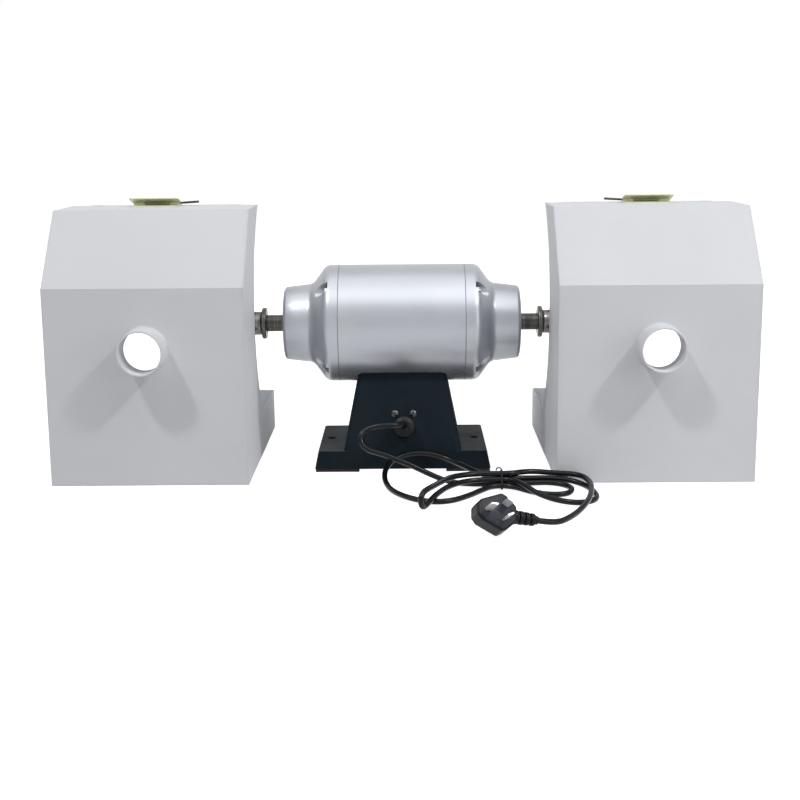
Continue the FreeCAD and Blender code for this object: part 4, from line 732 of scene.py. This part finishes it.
cast_black = finish("black paint on cast iron", (0.0105, 0.0170, 0.0225), (0.0145, 0.0220, 0.0290), 0.5,
                    spread=0.12, cloud=26.0, grain=330.0, depth_mm=0.16, pits=0.5, bare=(0.12, 0.12, 0.12),
                    wear=0.3, wear_width=0.0012, specular=0.035)
pad_rubber = finish("pad rubber", (0.012, 0.012, 0.012), (0.03, 0.029, 0.027), 0.72, cloud=70.0,
                    grain=900.0, depth_mm=0.08, specular=0.3)
plate_zinc = worked_metal("zinc plated sheet", (0.56, 0.57, 0.58), (0.42, 0.43, 0.45), 0.3,
                          (12.0, 900.0, 900.0), stain=(0.30, 0.31, 0.33), stains=0.5, stain_scale=60.0)
softened("pedestal", cast_black, edge=0.0012, segments=3, angle=40)
paint(pad_rubber, "foot_pads")
paint(plate_zinc, "bottom_plate", "capacitor_clamp")
paint(bolt_zinc, "bottom_plate_screws", "motor_mount_screws")

# ---- capacitor and terminal block -----------------------------------------------------------------
# A run capacitor in a drawn aluminium can, held by a strap, and a row of screw terminals moulded in
# cream plastic. Both sit inside the pedestal, out of sight.

can_aluminium = worked_metal("drawn aluminium can", (0.66, 0.66, 0.67), (0.55, 0.55, 0.56), 0.32,
                             (20.0, 1200.0, 1200.0), depth_mm=0.004)
cream_moulding = finish("cream moulding", (0.70, 0.65, 0.52), (0.74, 0.70, 0.58), 0.42, cloud=80.0,
                        grain=1500.0, depth_mm=0.02)
paint(can_aluminium, "capacitor")
paint(cream_moulding, "terminal_block")

# ---- speed switch ---------------------------------------------------------------------------------
# A brushed aluminium dial on the operator's side of the column with three plain numbers, and a black
# pointer knob on the steel spindle of the switch behind it.

column_y, column_z = 0.0673, 0.068
column_lean = math.radians(16.313)
dial_t = 0.0012
dial_frame = frame_at((0, column_y, column_z), (-1, 0, 0),
                      (0, -math.sin(column_lean), math.cos(column_lean)),
                      (0, math.cos(column_lean), math.sin(column_lean)))
dial_aluminium = worked_metal("brushed dial aluminium", (0.62, 0.62, 0.63), (0.50, 0.50, 0.51), 0.3,
                              (25.0, 2600.0, 2600.0), depth_mm=0.003)
dial_ink = finish("dial ink", (0.01, 0.01, 0.01), (0.014, 0.014, 0.014), 0.5, grain=2500.0, depth_mm=0.004)
knob_moulding = finish("knob moulding", (0.012, 0.012, 0.013), (0.018, 0.018, 0.019), 0.32, cloud=140.0,
                       grain=1600.0, depth_mm=0.02, bare=(0.04, 0.04, 0.04), wear=0.5, specular=0.4)
knob_ink = finish("pointer ink", (0.72, 0.72, 0.70), (0.66, 0.66, 0.64), 0.45, grain=2000.0, depth_mm=0.01)
softened("dial_plate", dial_aluminium, edge=0.0003)
softened("speed_knob", knob_moulding, edge=0.0009, segments=3)
paint(knob_moulding, "switch_body")
paint(shaft_steel, "switch_spindle")

number_r, number_size, number_turn = 0.0262, 0.0062, 60
ink_half, ink_lift = 0.00004, 0.00003
tick_r, tick_half = 0.0225, (0.0011, 0.00025, ink_half)
tick_count, first_tick, tick_turn = 13, math.radians(30), math.radians(10)
ink_frame = dial_frame @ Matrix.Translation((0, 0, dial_t + ink_lift))


def number(text, degrees):
    """A printed number on the dial, upright, at an angle from the top, clockwise."""
    curve = bpy.data.curves.new("number", "FONT")
    curve.body = text
    curve.size = number_size
    curve.align_x, curve.align_y = "CENTER", "CENTER"
    curve.extrude = ink_half
    holder = linked("number_" + text, curve)
    mesh = plain_mesh(holder)
    bpy.data.objects.remove(holder)
    turn = math.radians(degrees)
    mesh.transform(ink_frame @ Matrix.Translation((number_r * math.sin(turn), number_r * math.cos(turn), 0)))
    return bpy.data.objects.new("number_" + text, mesh)


def block(name, half, place=None, edge=0.0):
    """A small block of the given half sizes, with its edges eased."""
    shape = bmesh.new()
    bmesh.ops.create_cube(shape, size=2.0)
    bmesh.ops.scale(shape, vec=half, verts=shape.verts)
    if edge:
        bmesh.ops.bevel(shape, geom=shape.edges[:], offset=edge, segments=2, profile=0.5, affect="EDGES")
    return placed_mesh(name, shape, place)


# Copies on an arc about Z, a turn apart, each turned with its place on the arc.
arc_tree, takes = geometry_tree("copies on an arc", [
    ("Count", "Int", 8), ("Radius", "Float", 0.01), ("First angle", "Float", 0.0),
    ("Angle step", "Float", 0.1), ("Unevenness", "Float", 0.0), ("Seed", "Int", 3)])
index = add(arc_tree, "GeometryNodeInputIndex").outputs[0]
turn = calculated(arc_tree, "MULTIPLY_ADD", index, takes["Angle step"], takes["First angle"])
direction = add(arc_tree, "ShaderNodeCombineXYZ", {"X": calculated(arc_tree, "COSINE", turn),
                                                   "Y": calculated(arc_tree, "SINE", turn)}).outputs[0]
travel = add(arc_tree, "ShaderNodeVectorMath", {0: direction, "Scale": takes["Radius"]}, operation="SCALE")
spin = add(arc_tree, "ShaderNodeCombineXYZ", {"Z": turn})
least = calculated(arc_tree, "SUBTRACT", 1.0, takes["Unevenness"])
size = add(arc_tree, "FunctionNodeRandomValue", {2: least, 3: 1.0, "Seed": takes["Seed"]})
copy_onto(arc_tree, takes, travel.outputs[0], {"Rotation": spin.outputs[0], "Scale": size.outputs[1]})

ticks = repeated(block("dial_ticks", tick_half), arc_tree,
                 {"Count": tick_count, "Radius": tick_r, "First angle": first_tick, "Angle step": tick_turn},
                 dial_ink, ink_frame)
dial_marks = joined("dial_marks", [ticks, number("1", -number_turn), number("0", 0),
                                   number("2", number_turn)])
fitted(dial_marks, "base", dial_ink)

knob_rim_r, knob_ribs = 0.0200, 60
knob_rib_z, knob_rib_half = 0.0035, (0.0004, 0.00045, 0.0015)
ribs = repeated(block("knob_rim_ribs", knob_rib_half, edge=0.0002), arc_tree,
                {"Count": knob_ribs, "Radius": knob_rim_r, "Angle step": 2 * math.pi / knob_ribs},
                knob_moulding, dial_frame @ Matrix.Translation((0, 0, knob_rib_z)))
fitted(ribs, "switch_knob", knob_moulding)
pointer_y, pointer_z, pointer_half = 0.0105, 0.0187, (0.0006, 0.0052, 0.0002)
pointer = block("knob_pointer", pointer_half, edge=0.0001,
                place=dial_frame @ Matrix.Translation((0, pointer_y, pointer_z)))
fitted(pointer, "switch_knob", knob_ink)

# ---- cord gland and rear screws -------------------------------------------------------------------
# A black plastic gland in the rear wall, its dome ribbed so that it bends with the lead, a nut inside,
# and two cross-recessed pan-head screws above it that hold the terminal block inside.


def on_rear(x, z):
    """The frame of a piece that stands on the column's rear face, its Z outwards."""
    y = -column_y + (z - column_z) * math.tan(column_lean)
    return frame_at((x, y, z), (1, 0, 0), (0, math.sin(column_lean), math.cos(column_lean)),
                    (0, -math.cos(column_lean), math.sin(column_lean)))


gland_moulding = finish("gland moulding", (0.007, 0.007, 0.009), (0.012, 0.012, 0.014), 0.42, cloud=130.0,
                        grain=1300.0, depth_mm=0.03, specular=0.2)
softened("cord_gland", gland_moulding, edge=0.0008)
paint(gland_moulding, "gland_nut")
gland_x, gland_z = 0.002, 0.058
rib_r, rib_edge_r, rib_in_r = 0.0124, 0.0116, 0.0095
rib_half, rib_rim_half = 0.0009, 0.0004
rib_count, first_rib, rib_pitch, last_rib_size = 5, 0.0098, 0.0038, 0.70
gland_rib = turned("gland_ribs", [(rib_in_r, -rib_half), (rib_edge_r, -rib_half), (rib_r, -rib_rim_half),
                                  (rib_r, rib_rim_half), (rib_edge_r, rib_half), (rib_in_r, rib_half),
                                  (rib_in_r, -rib_half)], around=40)
gland_ribs = repeated(gland_rib, row_tree,
                      {"Count": rib_count, "Step": (0, 0, rib_pitch), "Last size": last_rib_size},
                      gland_moulding, on_rear(gland_x, gland_z) @ Matrix.Translation((0, 0, first_rib)))
fitted(gland_ribs, "base", gland_moulding)


def screw_head(name, radius, height, dome, arm_half, arm_reach, recess):
    """A domed screw head about Z with a cross recess: rings of points, pressed in along the cross."""
    shape = bmesh.new()
    around, steps, dome_power = 48, 12, 2.6
    rings = [ring_of(shape, radius * i / steps, height, around) for i in range(steps + 1)]
    for point in shape.verts:
        x, y = abs(point.co.x), abs(point.co.y)
        point.co.z -= dome * (math.hypot(x, y) / radius) ** dome_power
        if (x < arm_half and y < arm_reach) or (y < arm_half and x < arm_reach):
            point.co.z -= recess
    base = ring_of(shape, radius, 0, around)
    skinned(shape, rings + [base])
    shape.faces.new(base)
    bmesh.ops.recalc_face_normals(shape, faces=shape.faces)
    return placed_mesh(name, shape, angle=30)


rear_screw_zinc = worked_metal("dull zinc screws", (0.13, 0.135, 0.14), (0.05, 0.053, 0.055), 0.22,
                               (900.0, 900.0, 60.0), stain=(0.06, 0.05, 0.045), stains=0.7,
                               stain_scale=120.0)
screw_x, screw_z, screw_pitch = -0.010, 0.0750, 0.0239
rear_head = screw_head("rear_screw_heads", radius=0.0046, height=0.0030, dome=0.0016, arm_half=0.0007,
                       arm_reach=0.0026, recess=0.0012)
rear_heads = repeated(rear_head, row_tree, {"Count": 2, "Step": (screw_pitch, 0, 0)}, rear_screw_zinc,
                      on_rear(screw_x, screw_z))
stand_for(rear_heads, "rear_screws", rear_screw_zinc)

# ---- dust hoods -----------------------------------------------------------------------------------
# Two free-standing boxes of 1.5 mm steel sheet, cut, bent and welded, then powder coated light grey.
# A duct spigot is welded round its root in the rear wall, and the bead shows through the coat.

hood_coat = finish("light grey powder coat", (0.690, 0.704, 0.735), (0.720, 0.734, 0.764), 0.58,
                   spread=0.05, cloud=7.0, grain=1500.0, depth_mm=0.025, bare=(0.78, 0.79, 0.81), wear=0.5,
                   wear_width=0.0015, wear_breaks=25.0, specular=0.10)
sheet_edge, spigot_edge = 0.0005, 0.0006
hood_x, rear_wall_y, spigot_z, spigot_r = 0.3188, -0.142, 0.174, 0.028
bead_lumps, bead_out, bead_unevenness, bead_seed = 80, 0.0006, 0.35, 7
bead_profile = [(0, -0.0013), (0.0011, -0.0008), (0.0017, 0.0), (0.0012, 0.0008), (0, 0.0012)]
for side, sign in (("left_", -1), ("right_", 1)):
    for panel in ("hood_shell", "hood_inner_side", "hood_outer_side", "hood_tray"):
        softened(side + panel, hood_coat, edge=sheet_edge)
    softened(side + "duct_spigot", hood_coat, edge=spigot_edge)
    bead_frame = (Matrix.Translation((sign * hood_x, rear_wall_y - bead_out, spigot_z))
                  @ Matrix.Rotation(math.pi / 2, 4, "X"))
    bead = repeated(turned(side + "spigot_weld", bead_profile, around=8), arc_tree,
                    {"Count": bead_lumps, "Radius": spigot_r + bead_out,
                     "Angle step": 2 * math.pi / bead_lumps, "Unevenness": bead_unevenness,
                     "Seed": bead_seed + sign},
                    hood_coat, bead_frame)
    fitted(bead, side + "hood", hood_coat)

# ---- hinges and shields ---------------------------------------------------------------------------
# Each hood carries a hinge of yellow-passivated steel, its leaf held by countersunk screws. The upper
# leaf is a rocker that holds a clear acrylic shield in front of the wheel.

passivated, tree = new_finish("yellow passivated zinc")
where = add(tree, "ShaderNodeTexCoord").outputs["Object"]
swirl = add(tree, "ShaderNodeTexNoise", {"Vector": where, "Scale": 16.0, "Detail": 2.0, "Distortion": 0.4})
film = add(tree, "ShaderNodeValToRGB", {0: swirl.outputs[0]})
pale_film, green_film = film.color_ramp.elements
pale_film.position, pale_film.color = 0.36, (0.87, 0.86, 0.67, 1)
green_film.position, green_film.color = 0.66, (0.75, 0.79, 0.46, 1)
# Along the edges the film turns pale cream: partly rubbed film, partly a painted highlight where the edges
# catch the light.
rim = use(tree, rubbed, {"Width": 0.0025, "Break-up": 120.0, "Amount": 1.0})["Mask"]
cloud = use(tree, clouds, {"Colour": white, "Second colour": (0.88, 0.88, 0.88, 1), "Scale": 90.0,
                           "Roughness": 0.34, "Roughness spread": 0.12})
film_with_rubbed_and_highlit_edges = mixed(tree, rim, film.outputs[0], (0.90, 0.88, 0.76, 1))
relief = use(tree, skin, {"Scale": 900.0, "Pits": 0.0})["Height"]
surfaced(tree, {"Base Color": mixed(tree, 1.0, film_with_rubbed_and_highlit_edges, cloud["Colour"], blend_type="MULTIPLY"),
                "Roughness": cloud["Roughness"], "Metallic": 0.2, "Normal": bumped(tree, relief, 0.00002),
                "Coat Weight": 1.0, "Coat Roughness": 0.12})

clear_acrylic, tree = new_finish("clear acrylic")
scuffs = use(tree, stretch, {"Along": (300.0, 25.0, 300.0), "Contrast": 0.04})
surfaced(tree, {"Base Color": (0.95, 0.98, 0.985, 1), "IOR": 1.49, "Transmission Weight": 1.0,
                "Roughness": calculated(tree, "ADD", scuffs["Shade"], 0.02),
                "Normal": bumped(tree, scuffs["Height"], 0.00001, strength=0.25)})

for side in ("left_", "right_"):
    softened(side + "hinge_leaf", passivated, edge=0.0003)
    softened(side + "shield_arm", passivated, edge=0.0003)
    softened(side + "shield", clear_acrylic, edge=0.0005)
    paint(shaft_steel, side + "hinge_pin")
    paint(bolt_zinc, side + "hinge_screws")
